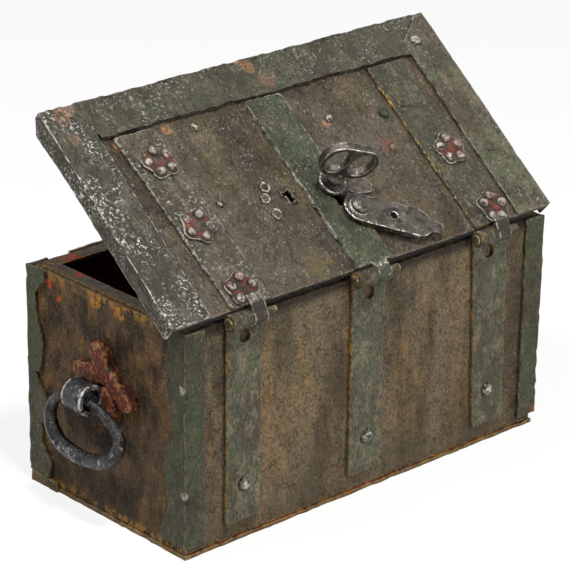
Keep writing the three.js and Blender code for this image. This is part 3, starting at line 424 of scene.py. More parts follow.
# %% Finishes of the walls and the lid plate
END_MARKS = tuple((Vector((118, y, z)) * MM, radius, code) for y, z, radius, code in (
    (-44, 110, 3, "b5421c"), (-36, 104, 2, "a84a20"), (-8, 112, 4, "a87228"),
    # The two large black marks below the ring: partly grime where it rubs, partly its painted shadow
    (10, 112, 5, "a87228"), (-8, 46, 12, "21180f"), (6, 44, 8, "21180f"),
))
LID_MARKS = tuple((on_lid(x, v, -2), radius, code) for x, v, radius, code in (
    (94, 98, 5, "865a40"), (66, 99, 3, "8f6a48"), (-50, 58, 4, "74403a"), (-24, 79, 2.5, "a8765a"),
    # The two black marks round the torn hole are painted shade, widening the hole's dark inside
    (30, 8, 9, "5a5036"), (24.4, 47.4, 5, "1a1612"), (23.0, 46.2, 4.5, "14110e"),
))
wall_finish = browned_iron("browned_wall_iron", painted_top_shade=0.85)
end_finish = browned_iron(
    "browned_end_iron", base="574330", dark="2a2017", streak="8a6536", speck="9a7a4c", edge_reach=6,
    zone=13, upright=0.6, marks=END_MARKS,
)
# The lid plate's near-black cut sides are a painted shade of the gap at its hinge edge
lid_finish = browned_iron(
    "browned_lid_iron", lid=True, base="534c41", dark="38322a", streak="66583a", speck="8d8678",
    bare_share=0.55, worn_edge="6e6252", arris="958d7c", cut="26221c", marks=LID_MARKS,
)
print("finishes", [finish[0].name for finish in (wall_finish, end_finish, lid_finish)])

# %% [markdown]
# The inside was painted a deep red-black, but its reds are drawn lighter, a painted light for the
# light that falls in under the open lid. The angle irons round the rim are worn back to brown, with
# red left in the corners, and the rear one is black. Thin paint wears alike in any colour, so this
# is the browned iron again with other colours.

# %% Finishes of the inside and the rim
RIM_MARKS = tuple((Vector(place) * MM, radius, "a8321c") for place, radius in (
    ((100, -50, 116), 6), ((60, -46, 113), 9), ((-20, -46, 112), 12), ((108, -30, 116), 4),
))
# Painted light: these reds are lighter than the red-black paint, for the light inside the box
inside_finish = browned_iron(
    "red_inside_with_painted_light", base="842416", dark="4a1810", streak="a8361e", speck="7c3828",
)
rim_finish = browned_iron(
    "red_brown_rim", slot="red_rim_iron", base="4a4038", streak="5e3424", marks=RIM_MARKS,
)
# The rear angle iron is drawn black all over
rear_rim_finish = browned_iron(
    "black_rear_rim", slot="red_rim_iron", base="2c2620", dark="1d1915", streak="3a2c1e", speck="3a342c",
    worn_edge="332a20", arris="3e3427", cut="1d1915",
)
print("finishes", [finish[0].name for finish in (inside_finish, rim_finish, rear_rim_finish)])

# %% [markdown]
# The straps and bands are thicker iron under a thin grey-green paint, satin where it is whole. Its
# ground shows through in zones of 20 mm, it is rubbed in patches of 6 mm, and dirt and the first
# deep green stay between them. Pits and specks are drawn at 1.2 mm, coarse enough to show.

# %% Green paint: zones, rubs, dirt and specks
def green_ground(tree, grain, plain, paint, under, rubbed, speck):
    worn = patches(tree, plain, 10, 0.42, 0.6, seed=14)
    zones = (under, patches(tree, grain, 20, 0.42, 0.6, seed=1), 1)
    rubs = (rubbed, patches(tree, grain, 6, 0.48, 0.62, seed=2), 0.7)
    deep_green = ("373f30", patches(tree, plain, 12, 0.54, 0.68, seed=7), 0.6)
    dirt = ("2c2a20", patches(tree, plain, 5, 0.54, 0.64, seed=13), 0.45)
    pits = ("1f1d16", patches(tree, grain, 1.2, 0.5, 0.6, seed=3), 0.5)
    specks = (speck, patches(tree, grain, 1.1, 0.57, 0.65, seed=12, within=worn), 0.6)
    return painted(tree, paint, zones, rubs, deep_green, dirt, pits, specks)


print("green paint", [round(c, 3) for c in linear("535442")])

# %% [markdown]
# The paint has worn through to silvery iron in 1.3 mm flecks that gather in 13 mm clusters, and it
# broke away along the edges. Cut sides are ochre or bright, depending on what reached them; the
# front band's black cut side is a painted shade of the gap under its sprung edge. Bare iron is a
# metal and paint isn't, so one mask drives colour and metallic value.

# %% Worn green paint over iron
def green_painted_iron(
    name, lid=False, paint="535442", under="4a4235", rubbed="69614e", speck="8f8a74", cut="16130f",
    cut_metal=0.0, worn_edge="8f8a80", edge_share=0.5, bare_share=0.5, bare_from=0.59, marks=(),
):
    material, tree = surface(name)
    plain, grain = object_place(tree, lid), object_place(tree, lid, 0.5)
    edge, side = (add(tree, "Attribute", attribute_name=n)["Fac"] for n in ("edge_distance", "cut_side"))
    colour = green_ground(tree, grain, plain, paint, under, rubbed, speck)
    worn = where(tree, edge, 0.8, 0.15, within=patches(tree, plain, 3.5, 0.45, 0.56, seed=4))
    cleared = add(tree, "MapRange", {0: patches(tree, plain, 6, 0.5, 0.6, seed=5), 3: 0.1, 4: 0.95})[0]
    cut_here = add(tree, "Math", {0: side, 1: cleared}, operation="MULTIPLY")[0]
    mottled = painted(tree, cut, (under, patches(tree, plain, 1.6, 0.44, 0.6, seed=21), 1))
    colour = painted(tree, colour, (worn_edge, worn, edge_share), (mottled, cut_here, 1))
    colour = stained(tree, colour, marks, patches(tree, plain, 1.5, 0.3, 0.7, seed=18))
    clusters = patches(tree, grain, 13, 0.42, 0.6, seed=9, within=bare_share)
    bare = patches(tree, plain, 1.3, bare_from, bare_from + 0.07, seed=8, detail=6, within=clusters)
    colour = painted(tree, colour, ("b2b1ac", bare, 1))
    bare_metal = add(tree, "Math", {0: bare, 1: 0.9}, operation="MULTIPLY")[0]
    side_metal = add(tree, "Math", {0: cut_here, 1: cut_metal}, operation="MULTIPLY")[0]
    metal = add(tree, "Math", {0: bare_metal, 1: side_metal}, operation="MAXIMUM")[0]
    relief = patches(tree, plain, 3, 0.35, 0.6, seed=4)
    height, rough = gritty(tree, relief, 0.8, grain, 1.1, 0.6, 0.36)
    finish_with(tree, colour, rough, metal, height, 0.7)
    return material, "green_painted_iron"


print("bare iron", [round(c, 3) for c in linear("b2b1ac")])

# %% [markdown]
# On the box, the wall straps have ochre cut edges, rivet holes painted black as the shade in them,
# and greasy knuckles. The corner bands are a darker green, and the near one has nicks drawn in
# colour only: bare iron and a painted highlight on the bend, beside a painted shade in the gap.

# %% Finishes of the box straps and corner bands
# Painted shade: black discs in the empty rivet holes near the tops of the back straps
HOLE_SHADE_MARKS = tuple((Vector((x, 58, 106.2)) * MM, 3, "15130f") for x in (83, 2.8, -80))
KNUCKLE_MARKS = tuple((Vector((x, 62, 116)) * MM, 9, "332c24") for x in (87, 79, 7, -2, -78, -87))
# Nicks in colour: bright bare iron and painted highlight beside black painted shade; last is rust
NICK_HIGHLIGHTS_SHADES_AND_RUST = tuple((Vector((x, y, z)) * MM, radius, code) for x, y, z, radius, code in (
    (120, 57, 88, 2.2, "a9a595"), (119, 59, 85, 1.6, "15130f"), (120, 58, 34, 2, "a9a595"),
    (118, 59, 31, 1.5, "15130f"), (-119, 59, 5, 4, "b0401c"),
))
strap_finish = green_painted_iron(
    "green_strap_ochre_edges", rubbed="746c56", cut="b07f38", worn_edge="86683a", edge_share=0.6,
    bare_share=0.25, marks=KNUCKLE_MARKS + HOLE_SHADE_MARKS,
)
corner_finish = green_painted_iron(
    "green_corner_band", paint="414430", under="3a3528", rubbed="4f4c38", speck="6c6a56", cut="5c4a2c",
    worn_edge="7d775f", bare_share=0.4, bare_from=0.61, marks=NICK_HIGHLIGHTS_SHADES_AND_RUST,
)
print("finishes", [finish[0].name for finish in (strap_finish, corner_finish)])

# %% [markdown]
# No two bands of the lid have worn alike. The near end is almost covered with bare flecks, the
# front has fewer, and the far end is the greenest. Of the straps, the near one is rubbed down to
# brown, the centre one is deep green, and the far one has ochre cut edges.

# %% Finishes of the lid's bands and straps
BAND_MARKS = tuple((on_lid(x, v, 0), radius, code) for x, v, radius, code in (
    (118, 119, 5, "7c5844"), (113, 122, 4, "8a715e"), (119, 106, 3, "6e5140"), (2, 119, 4, "85603e"),
    (6, 124, 3, "85603e"), (-4, 109, 5, "6e5040"), (-112, 30, 4, "8a8478"),
))
# The front band keeps the default black cut side, a painted shade of the gap under its sprung edge
front_band_finish = green_painted_iron(
    "green_front_band", lid=True, paint="424335", under="3d382e", rubbed="545042", edge_share=0.2,
    bare_share=0.6, bare_from=0.575, marks=BAND_MARKS,
)
near_end_finish = green_painted_iron(
    "green_near_end_band", lid=True, paint="413f35", under="3d372e", rubbed="5b564c", cut="45443a",
    cut_metal=0.3, worn_edge="c4c0b4", edge_share=0.9, bare_share=1.0, bare_from=0.54, marks=BAND_MARKS,
)
far_end_finish = green_painted_iron(
    "green_far_end_band", lid=True, cut="6f6d5c", cut_metal=0.3, worn_edge="a29e8c", bare_share=0.6,
)
near_strap_finish = green_painted_iron(
    "rubbed_near_lid_strap", lid=True, paint="534b40", under="453d33", rubbed="676050", cut="c0bbae",
    cut_metal=0.6, worn_edge="b5b0a4", edge_share=0.6, bare_share=0.8, bare_from=0.57,
)
centre_strap_finish = green_painted_iron(
    "green_centre_lid_strap", lid=True, paint="3f4636", under="37352a", rubbed="57543f", cut="c0bbae",
    cut_metal=0.6, worn_edge="b5b0a4", edge_share=0.6, bare_share=0.5,
)
far_strap_finish = green_painted_iron(
    "green_far_lid_strap", lid=True, paint="454335", under="3c372d", rubbed="5c5746", cut="c8a258",
    cut_metal=0.2, edge_share=0.2, bare_share=0.3,
)
print("finishes", [f[0].name for f in (front_band_finish, near_end_finish, far_end_finish)])

# %% [markdown]
# Small forged pieces were shaped hot, filed, and polished by hands since. Bare iron like that is
# a metal: dark, with a broad soft shine, and brighter on rubbed ridges. Bright 2.2 mm spots are
# painted glints, highlights drawn into the colour. The finish reads how far each point stands
# out. File marks are finer than a pixel, so a grit of 0.7 mm stands for them.

# %% Bare forged iron
def forged_iron(
    name, base, bright, dark="35322f", slot="polished_iron", rust=0.3, blot=5, pits=0.35, metal=0.85,
    glints=0.0,
):
    material, tree = surface(name)
    plain = object_place(tree)
    ridge = add(tree, "Attribute", attribute_name="ridge")["Fac"]
    broken = patches(tree, plain, 3.5, 0.4, 0.6, seed=7)
    glint_zones = patches(tree, plain, 8, 0.42, 0.6, seed=23)
    blots = (dark, patches(tree, plain, blot, 0.42, 0.6), 1)
    rusted = ("5e4630", patches(tree, plain, 2.2, 0.55, 0.7, seed=2), rust)
    ridges = (bright, where(tree, ridge, 0.2, 0.85, broken), 0.9)
    # Painted glints: bright spots in the colour that stand for sharp highlights
    rubs = (bright, patches(tree, plain, 2.2, 0.48, 0.7, seed=22, within=glint_zones), glints)
    hollows = ("191614", where(tree, ridge, -0.1, -0.7), 0.7)
    colour = painted(tree, base, blots, rusted, ridges, rubs, hollows)
    grit = add(tree, "TexNoise", {"Vector": plain, "Scale": 1000 / 0.7, "Detail": 3.0})[0]
    rough = add(tree, "MapRange", {0: patches(tree, plain, 3, 0.35, 0.65, seed=3), 3: 0.22, 4: 0.4})[0]
    finish_with(tree, colour, rough, metal, grit, pits)
    return material, slot


# Ring and staple: dark and glossy, with sharp painted glints
polished = forged_iron(
    "polished_forged_iron", base="3f3d3d", bright="c6c2bc", dark="2a292a", rust=0.15, pits=0.6, glints=0.6,
)
# Key and cover: paler, from fingers, with fewer painted glints
rubbed = forged_iron("rubbed_lock_iron", base="5a544e", bright="c4beb6", dark="3e3935", glints=0.35)
# Rivet heads: dirt in the dips, iron on top
rivet_finish = forged_iron(
    "rubbed_rivet_iron", base="6c695e", bright="b8b4a8", dark="2e2d25", slot="green_painted_iron",
    blot=1.6, pits=0.9,
)
# Hinge pins: dull ochre rust
hinge_finish = forged_iron(
    "ochre_hinge_iron", base="544a38", bright="8f8162", dark="332b1f", rust=0.5, blot=2, pits=0.8,
    metal=0.5,
)
# The lock under the lid: filed once and browned since
lock_finish = forged_iron("browned_lock_iron", base="3f3833", bright="7c746a", slot="lock_iron", rust=0.6)
print("finishes", [f[0].name for f in (polished, rubbed, rivet_finish, hinge_finish, lock_finish)])

# %% [markdown]
# Handle plates, rosettes and hinge leaves were painted red. The paint is thin and matt, and it
# holds in the hollows and near the middle of a plate, while the tops of the bosses are bare. Two
# more measures of each point say so: how far it is from the middle, and how high it is raised.

# %% Worn red paint over forged iron
def red_painted_iron(name, paint, under, bare, cover, metal, reach=10):
    material, tree = surface(name)
    plain = object_place(tree)
    measures = ("ridge", "raised", "middle")
    ridge, raised, middle = (add(tree, "Attribute", attribute_name=n)["Fac"] for n in measures)
    near_middle = where(tree, middle, reach, reach * 0.6)
    holds = patches(tree, plain, 4, cover, cover + 0.1, seed=3, within=near_middle)
    rubbed_ridge = where(tree, ridge, 0.1, 0.6, within=patches(tree, plain, 2.5, 0.42, 0.56, seed=4))
    ridges = add(tree, "Math", {0: rubbed_ridge, 1: 0.75}, operation="MULTIPLY")[0]
    tops = patches(tree, plain, 2, 0.42, 0.6, seed=9, within=raised)
    worn = add(tree, "Math", {0: ridges, 1: tops}, operation="MAXIMUM")[0]
    blots = ("322c27", patches(tree, plain, 4, 0.4, 0.6), 1)
    fresh = ("984a34", patches(tree, plain, 2.4, 0.58, 0.68, seed=6, within=holds), 1)
    hollows = ("1c1512", where(tree, ridge, -0.1, -0.7), 0.6)
    colour = painted(tree, under, blots, (paint, holds, 0.8), fresh, (bare, worn, 1), hollows)
    grit = add(tree, "TexNoise", {"Vector": plain, "Scale": 1000 / 0.9, "Detail": 3.0})[0]
    shine = add(tree, "Math", {0: worn, 1: metal}, operation="MULTIPLY")[0]
    finish_with(tree, colour, 0.42, shine, grit, 0.7)
    return material, "red_painted_iron"


# Handle plates: paint all over, with rust where it is bare
handle_plate_finish = red_painted_iron(
    "red_handle_plate", paint="58271e", under="432c24", bare="8f6a42", cover=0.36, metal=0.2, reach=100,
)
# Rosettes, hinge leaves and the tab: a little red between silvery bosses
rosette_finish = red_painted_iron(
    "red_rosette", paint="5f3026", under="4f473c", bare="a39c92", cover=0.48, metal=0.8,
)
leaf_finish = red_painted_iron(
    "red_hinge_leaf", paint="5f3026", under="332d27", bare="9c958b", cover=0.48, metal=0.6,
)
tab_finish = red_painted_iron(
    "rubbed_red_tab", paint="5e3a2e", under="5a524a", bare="a39c92", cover=0.56, metal=0.7,
)
print("finishes", [f[0].name for f in (handle_plate_finish, rosette_finish, leaf_finish, tab_finish)])

# %% [markdown]
# Hand-worked sheet is never flat: it bows, it is dented, and its sheared edges wander. Sculpting
# could do that, but it can't be repeated. Here a smooth noise on seeded random numbers moves
# every point. Pieces that lie on each other share it, so they move together.

# %% Smooth seeded noise
LATTICE_SIDE = 32
LATTICE = np.random.default_rng(1650).uniform(-1, 1, (LATTICE_SIDE, LATTICE_SIDE, LATTICE_SIDE, 3))
SEED_STEP = 7.31


def unevenness(points, size, seed=0):
    """Three smooth random numbers from -1 to 1 for each point; they change over size millimetres."""
    q = points / (size * MM) + seed * SEED_STEP + 100
    low = np.floor(q).astype(int)
    f = q - low
    f = f * f * (3 - 2 * f)
    total = 0
    for corner in np.ndindex(2, 2, 2):
        share = np.prod(np.where(np.array(corner), f, 1 - f), axis=1)
        i = (low + corner) % LATTICE_SIDE
        total = total + LATTICE[i[:, 0], i[:, 1], i[:, 2]] * share[:, None]
    return total


print("noise", np.round(unevenness(np.array([[0.01, 0.02, 0.03]]), 20), 3))

# %% [markdown]
# Each change of shape reads the points of a mesh into one array, moves them and writes them back,
# because a loop over so many would take minutes. Points are held just inside the CAD's box, so
# that wear never makes the casket bigger. Measures for the finishes become attributes.

# %% Points and measures of a mesh
INSIDE = 2e-5


def coordinates(mesh):
    flat = np.empty(len(mesh.vertices) * 3)
    mesh.vertices.foreach_get("co", flat)
    return flat.reshape(-1, 3)


def put_coordinates(mesh, points):
    low, high = (np.array(corner) for corner in cad_box)
    points = np.clip(points, low + INSIDE, high - INSIDE)
    mesh.vertices.foreach_set("co", points.ravel())
    mesh.update()


def write_measure(mesh, name, values, domain="POINT"):
    made = mesh.attributes.new(name, "FLOAT", domain)
    made.data.foreach_set("value", np.asarray(values, dtype=np.float32))


print("points of the CAD's back wall", len(coordinates(frame["nodes"]["back_wall"].data)))

# %% [markdown]
# A CAD solid has sharp, straight edges and large flat faces. A finer copy gets worn, rounded edges
# and small squares that can bend. A subdivision surface would round off the corners too, so
# planes cut the faces. A cut side is where the iron behind a face is deeper than a sheet is thick.

# %% Finer copies of sheet pieces
SHARP, FLAT = math.radians(35), math.radians(1)
MARK_STEP = 0.7 * MM
THICKEST_SHEET = 4 * MM
SAME_POINT, JUST_BELOW = 1e-6, 1e-5
BOX_AXES = (Vector((1, 0, 0)), Vector((0, 1, 0)), Vector((0, 0, 1)))
LID_AXES = (Vector((1, 0, 0)), LID_V, LID_N)


def marks_along(edges):
    """Close points along these edges, kept so that the nearest is found quickly."""
    marks = []
    for e in edges:
        count = max(1, int(e.calc_length() / MARK_STEP))
        marks += [e.verts[0].co.lerp(e.verts[1].co, i / count) for i in range(count + 1)]
    near = KDTree(len(marks))
    for i, p in enumerate(marks):
        near.insert(p, i)
    near.balance()
    return near


def cut_along(bm, axis, step):
    along = [v.co.dot(axis) for v in bm.verts]
    count = int((max(along) - min(along)) / step)
    for i in range(1, count + 1):
        place = axis * (min(along) + (max(along) - min(along)) * i / (count + 1))
        whole = bm.verts[:] + bm.edges[:] + bm.faces[:]
        bmesh.ops.bisect_plane(bm, geom=whole, plane_co=place, plane_no=axis)


def is_cut_side(face, solid, axes, folded):
    """The outer faces of a folded band look along its other leg, so they don't count."""
    centre = face.calc_center_median()
    behind = solid.ray_cast(centre - face.normal * JUST_BELOW, -face.normal)[3]
    square = max(abs(face.normal.dot(axis)) for axis in axes) > 0.8
    outer = folded and face.normal.to_2d().dot(centre.to_2d()) > 0.01
    return square and not outer and (behind is None or behind > THICKEST_SHEET)


def finer_copy(name, step, rounding, on_the_lid):
    bm = bmesh.new()
    bm.from_mesh(frame["nodes"][name].data)
    bmesh.ops.remove_doubles(bm, verts=bm.verts, dist=SAME_POINT)
    bmesh.ops.dissolve_limit(bm, angle_limit=FLAT, verts=bm.verts, edges=bm.edges)
    solid = BVHTree.FromBMesh(bm)
    edges = [e for e in bm.edges if len(e.link_faces) == 2 and e.calc_face_angle_signed() > SHARP]
    near = marks_along(edges)
    worn = {"segments": 2, "affect": "EDGES", "profile": 0.5, "clamp_overlap": True}
    bmesh.ops.bevel(bm, geom=edges, offset=rounding * MM, **worn)
    axes = LID_AXES if on_the_lid else BOX_AXES
    for axis in axes:
        cut_along(bm, axis, step * MM)
    bmesh.ops.triangulate(bm, faces=[f for f in bm.faces if len(f.verts) > 4])
    edge_distances = [near.find(v.co)[2] / MM for v in bm.verts]
    cut_sides = [is_cut_side(f, solid, axes, name.startswith("corner")) for f in bm.faces]
    for f in bm.faces:
        f.smooth = True
    mesh = bpy.data.meshes.new(name + "_worn")
    bm.to_mesh(mesh)
    bm.free()
    write_measure(mesh, "edge_distance", edge_distances)
    write_measure(mesh, "cut_side", cut_sides, "FACE")
    return mesh


print("faces of the CAD's back wall", len(frame["nodes"]["back_wall"].data.polygons))

# %% [markdown]
# A sheet piece is its finer copy, bent. It bows over 38 mm, is dented over 11 mm, and its edges
# wander every 3 mm. One function does that and puts the piece in place of its CAD node, on the
# node's body, with its finish's material.

# %% Bending and placing
BOW_SIZE, DENT_SIZE, RAG_SIZE, RAG_REACH = 38, 11, 3.2, 1.6
body_of_node = {n: body for body, names in frame["record"]["behaviour"]["bodies"].items() for n in names}


def bend_sheet(mesh, bow, dent, rag):
    points = coordinates(mesh)
    away = np.empty(len(points), dtype=np.float32)
    mesh.attributes["edge_distance"].data.foreach_get("value", away)
    near_edge = np.exp(-away / RAG_REACH)[:, None]
    moved = points + unevenness(points, BOW_SIZE) * bow * MM + unevenness(points, DENT_SIZE, 2) * dent * MM
    moved += unevenness(points, RAG_SIZE, 5) * near_edge * rag * MM
    put_coordinates(mesh, moved)


def place_piece(name, mesh, node, finish):
    piece = new_object(name, mesh)
    mesh.materials.clear()
    mesh.materials.append(finish[0])
    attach(piece, body_of_node[node])
    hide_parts(node)
    return piece


def sheet_piece(node, finish, step=2.5, rounding=0.3, lid=False, bow=0.25, dent=0.1, rag=0.16):
    mesh = finer_copy(node, step, rounding, lid)
    bend_sheet(mesh, bow, dent, rag)
    return place_piece(node + "_worn", mesh, node, finish)


def faces_made():
    return sum(len(o.data.polygons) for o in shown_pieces() if o.type == "MESH")


print("nodes to dress", len(body_of_node))

# %% [markdown]
# First the walls and the bottom. They are browned outside and red-black inside. Two objects would
# leave a seam at the rim, so the inner faces get a second material, chosen by where they look.

# %% Walls and bottom
INNER_X, INNER_Y = 116 * MM, 57 * MM
INWARD = {
    "front_wall": (0, 1, 0), "back_wall": (0, -1, 0), "left_end_wall": (1, 0, 0),
    "right_end_wall": (-1, 0, 0), "bottom_plate": (0, 0, 1),
}


def line_inside(piece, looks_in):
    piece.data.materials.append(inside_finish[0])
    for face in piece.data.polygons:
        within = abs(face.center.x) < INNER_X and abs(face.center.y) < INNER_Y
        face.material_index = 1 if within and face.normal.dot(Vector(looks_in)) > 0.7 else 0


for node, looks_in in INWARD.items():
    finish = end_finish if "end" in node else wall_finish
    line_inside(sheet_piece(node, finish, rag=0.6 if node == "bottom_plate" else 0.35), looks_in)
print("faces so far", faces_made())

# %% [markdown]
# Then what stiffens the box: four angle irons in the rim, four folded corner bands and six
# straps. The rim has to meet the lid, so it is bent least.

# %% Rim, corner bands and straps
for side in ("front", "right", "back", "left"):
    finish = rear_rim_finish if side == "back" else rim_finish
    sheet_piece(f"rim_angle_{side}", finish, step=4, rounding=0.2, bow=0.06, dent=0.04, rag=0.06)
for corner in ("back_right", "front_right", "back_left", "front_left"):
    sheet_piece(f"corner_band_{corner}", corner_finish, step=2, rag=0.4)
for place in ("left", "centre", "right"):
    sheet_piece(f"back_strap_{place}", strap_finish, step=2, bow=0.1, dent=0.08, rag=0.15)
    sheet_piece(f"front_strap_{place}", strap_finish, step=2, rag=0.3)
print("faces so far", faces_made())

# %% [markdown]
# The lid's plate, bands and straps are cut along the lid's own directions. The front band's rear
# edge has sprung up from the plate and shows a black gap. That came with wear, as the dents did,
# so it isn't in the solid, and the points are lifted here. The band's cut side there is painted
# black as well, a painted shade in the gap.

# %% Lid plate, bands and straps
SPRUNG_TO, SPRUNG_OVER = 111, 9
sheet_piece("lid_plate", lid_finish, lid=True, bow=0.08, dent=0.05, rag=0.08)
front_band = sheet_piece("lid_band_front", front_band_finish, step=2, lid=True, rag=0.8)
points = coordinates(front_band.data)
rise = np.clip((SPRUNG_TO - lid_frame(points)[:, 1]) / SPRUNG_OVER, 0, 1)
spring = rise ** 2 * (0.9 + 0.4 * unevenness(points, 30, 8)[:, 0])
put_coordinates(front_band.data, points + spring[:, None] * np.array(LID_N) * MM)
for node, finish, rag in (
    ("lid_band_right", near_end_finish, 0.3),
    ("lid_band_left", far_end_finish, 0.3),
    ("lid_strap_right", near_strap_finish, 0.45),
    ("lid_strap_centre", centre_strap_finish, 0.45),
    ("lid_strap_left", far_strap_finish, 0.45),
):
    sheet_piece(node, finish, step=2, lid=True, rag=rag)
print("front band sprung up by", round(float(spring.max()), 2), "mm")

# %% [markdown]
# Rivet heads were hammered by hand, so no two are alike. Most are low, lopsided domes, rubbed
# bright on top. Those by the torn hole are dished, and where a rivet was lost a ring-shaped mark
# stays. A profile is turned at each place, and the shared noise bends each head in its own way.

# %% Rivet heads and rivet marks
SIDES = 24
SUNK = 0.4
FAR_FROM_EDGE = 9


def dome_profile(radius, height):
    return [(radius * math.cos(a), height * math.sin(a)) for a in np.linspace(0, math.pi / 2, 7)]


def dished_profile(radius, height):
    shares = ((1, 0), (0.95, 0.8), (0.75, 1), (0.5, 0.4))
    return [(radius * r, height * h) for r, h in shares] + [(0.01, height * 0.3)]


def ring_profile(radius, height):
    rim = [(radius, 0), (radius * 0.93, height), (radius * 0.8, height)]
    return rim + [(radius * 0.7, -0.1), (0.01, -0.15)]


def turned_heads(name, heads, out, profile):
    """Turns a profile at each head's place, with its foot a little below the surface."""
    bm = bmesh.new()
    aim = Vector(out).to_track_quat("Z", "Y").to_matrix()
    for place, radius, height in heads:
        rows = []
        for r, h in [(profile(radius, height)[0][0], -SUNK)] + profile(radius, height):
            angles = np.arange(SIDES) * 2 * math.pi / SIDES
            ring = [Vector((r * math.cos(a), r * math.sin(a), h)) * MM for a in angles]
            rows.append([bm.verts.new(Vector(place) + aim @ p) for p in ring])
        for low, high in zip(rows, rows[1:]):
            for i in range(SIDES):
                bm.faces.new((low[i], low[(i + 1) % SIDES], high[(i + 1) % SIDES], high[i]))
    bmesh.ops.remove_doubles(bm, verts=bm.verts, dist=SAME_POINT)
    bmesh.ops.recalc_face_normals(bm, faces=bm.faces)
    mesh = bpy.data.meshes.new(name)
    bm.to_mesh(mesh)
    bm.free()
    return mesh


def rivets(name, body, heads, out, finish, profile=dome_profile, depth=0.25):
    """Each head is its place in metres, radius and height. All stand out along one direction."""
    mesh = turned_heads(name, heads, out, profile)
    points = coordinates(mesh)
    put_coordinates(mesh, points + unevenness(points, 3.5, 6) * depth * MM)
    centres = np.array([place for place, radius, height in heads])
    nearest = ((points[:, None] - centres[None]) ** 2).sum(axis=2).argmin(axis=1)
    tops = np.array([height for place, radius, height in heads])[nearest] * MM
    share = (points - centres[nearest]) @ np.array(out) / tops
    # A head's foot counts as a hollow, and its top as a ridge
    write_measure(mesh, "ridge", np.clip(share * 1.7 - 0.7, -1, 1))
    write_measure(mesh, "edge_distance", np.full(len(points), FAR_FROM_EDGE))
    for face in mesh.polygons:
        face.use_smooth = True
    piece = new_object(name, mesh)
    mesh.materials.append(finish[0])
    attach(piece, body)


print("rivet sides", SIDES)

# %% [markdown]
# The places were read off the photograph, apart from the front's, which it doesn't show. Rivets on
# straps and bands stand on top of them, those of the plate 2.1 mm lower.

# %% Places of the rivets
PLATE_N = -2.1
STRAP_HEADS = [(Vector((x, 59, 30)) * MM, 4, 2.4) for x in (82.8, 2.6, -82.4)]
FRONT_HEADS = [(Vector((x, -59, z)) * MM, 3.4, 1.4) for x in (83.5, 3.3, -79.5) for z in (30, 106.2)]
PLATE_HEADS = [(on_lid(x, v, PLATE_N), 2.6, 1.3) for x, v in (
    (62.7, 53.7), (51.4, 95.9), (-52.7, 55.2), (-37.6, 97.8), (-27.1, 80.8),
)]
DISHED_HEADS = [(on_lid(x, v, PLATE_N), 3.1, 1.2) for x, v in ((37.6, 49), (36.4, 39.7), (33.9, 54.9))]
BAND_HEADS = [(on_lid(x, v, 0), radius, 1.0) for x, v, radius in (
    (119.1, 95.5, 2.6), (-94.6, 120.2, 2.8), (-110.2, 12.4, 2.6), (-110.2, 93, 2.6), (-107, 109.7, 4),
)]
FLAT_MARKS = [(on_lid(x, v, 0), 3, 0.4) for x, v in (
    (2.7, 60.4), (3.7, 51.6), (8.6, 73.6), (-1, 8), (-60, 75), (-108, 40),
)]
rivets("back_strap_rivets", "casket", STRAP_HEADS, (0, 1, 0), rivet_finish)
rivets("front_strap_rivets", "casket", FRONT_HEADS, (0, -1, 0), rivet_finish)
rivets("lid_plate_rivets", "lid", PLATE_HEADS, LID_N, rivet_finish, depth=0.4)
rivets("torn_hole_rivets", "lid", DISHED_HEADS, LID_N, rivet_finish, dished_profile, 0.4)
rivets("lid_band_rivets", "lid", BAND_HEADS, LID_N, rivet_finish)
rivets("lid_rivet_marks", "lid", FLAT_MARKS, LID_N, centre_strap_finish, ring_profile, 0.15)
print("rivets on the plate", len(PLATE_HEADS + DISHED_HEADS))

# %% [markdown]
# Forged pieces have no flat faces to cut: every edge was drawn out and rubbed round. A voxel
# remesh melts a CAD solid into an even skin, smoothing rounds it, and a small noise leaves the
# hammer marks. It loses what is finer than its voxel, so the voxels are 0.25 to 0.6 mm.

# %% Melting and hammering
FINE_MARKS = 1.6


def melted_copy(name, voxel, rounds):
    raw = new_object("raw", frame["nodes"][name].data.copy())
    remesh = raw.modifiers.new("skin", "REMESH")
    remesh.mode = "VOXEL"
    remesh.voxel_size = voxel * MM
    smooth = raw.modifiers.new("rubbed", "SMOOTH")
    smooth.factor, smooth.iterations = 0.5, rounds
    shape = raw.evaluated_get(bpy.context.evaluated_depsgraph_get())
    mesh = bpy.data.meshes.new_from_object(shape)
    bpy.data.objects.remove(raw)
    mesh.name = name + "_forged"
    return mesh


def hammer(mesh, depth, size, fine):
    points = coordinates(mesh)
    moved = points + unevenness(points, size, 3) * depth * MM
    put_coordinates(mesh, moved + unevenness(points, FINE_MARKS, 4) * fine * MM)


print("points of the CAD's key", len(frame["nodes"]["key"].data.vertices))

# %% [markdown]
# Hands polish what stands out, and dirt fills what lies deep. Blender's Pointiness would show
# that, but other programs don't know it. Here each point is compared with the mean of its
# neighbours, four rounds wide: outside of it is a ridge, inside is a hollow.

# %% Ridges and hollows
ROUNDS_WIDE = 4


def neighbours_mean(mesh, values):
    pairs = np.empty(len(mesh.edges) * 2, dtype=int)
    mesh.edges.foreach_get("vertices", pairs)
    pairs = pairs.reshape(-1, 2)
    total, count = np.zeros_like(values), np.zeros(len(values))
    for a, b in ((0, 1), (1, 0)):
        np.add.at(total, pairs[:, a], values[pairs[:, b]])
        np.add.at(count, pairs[:, a], 1)
    return total / count.reshape((-1,) + (1,) * (values.ndim - 1))


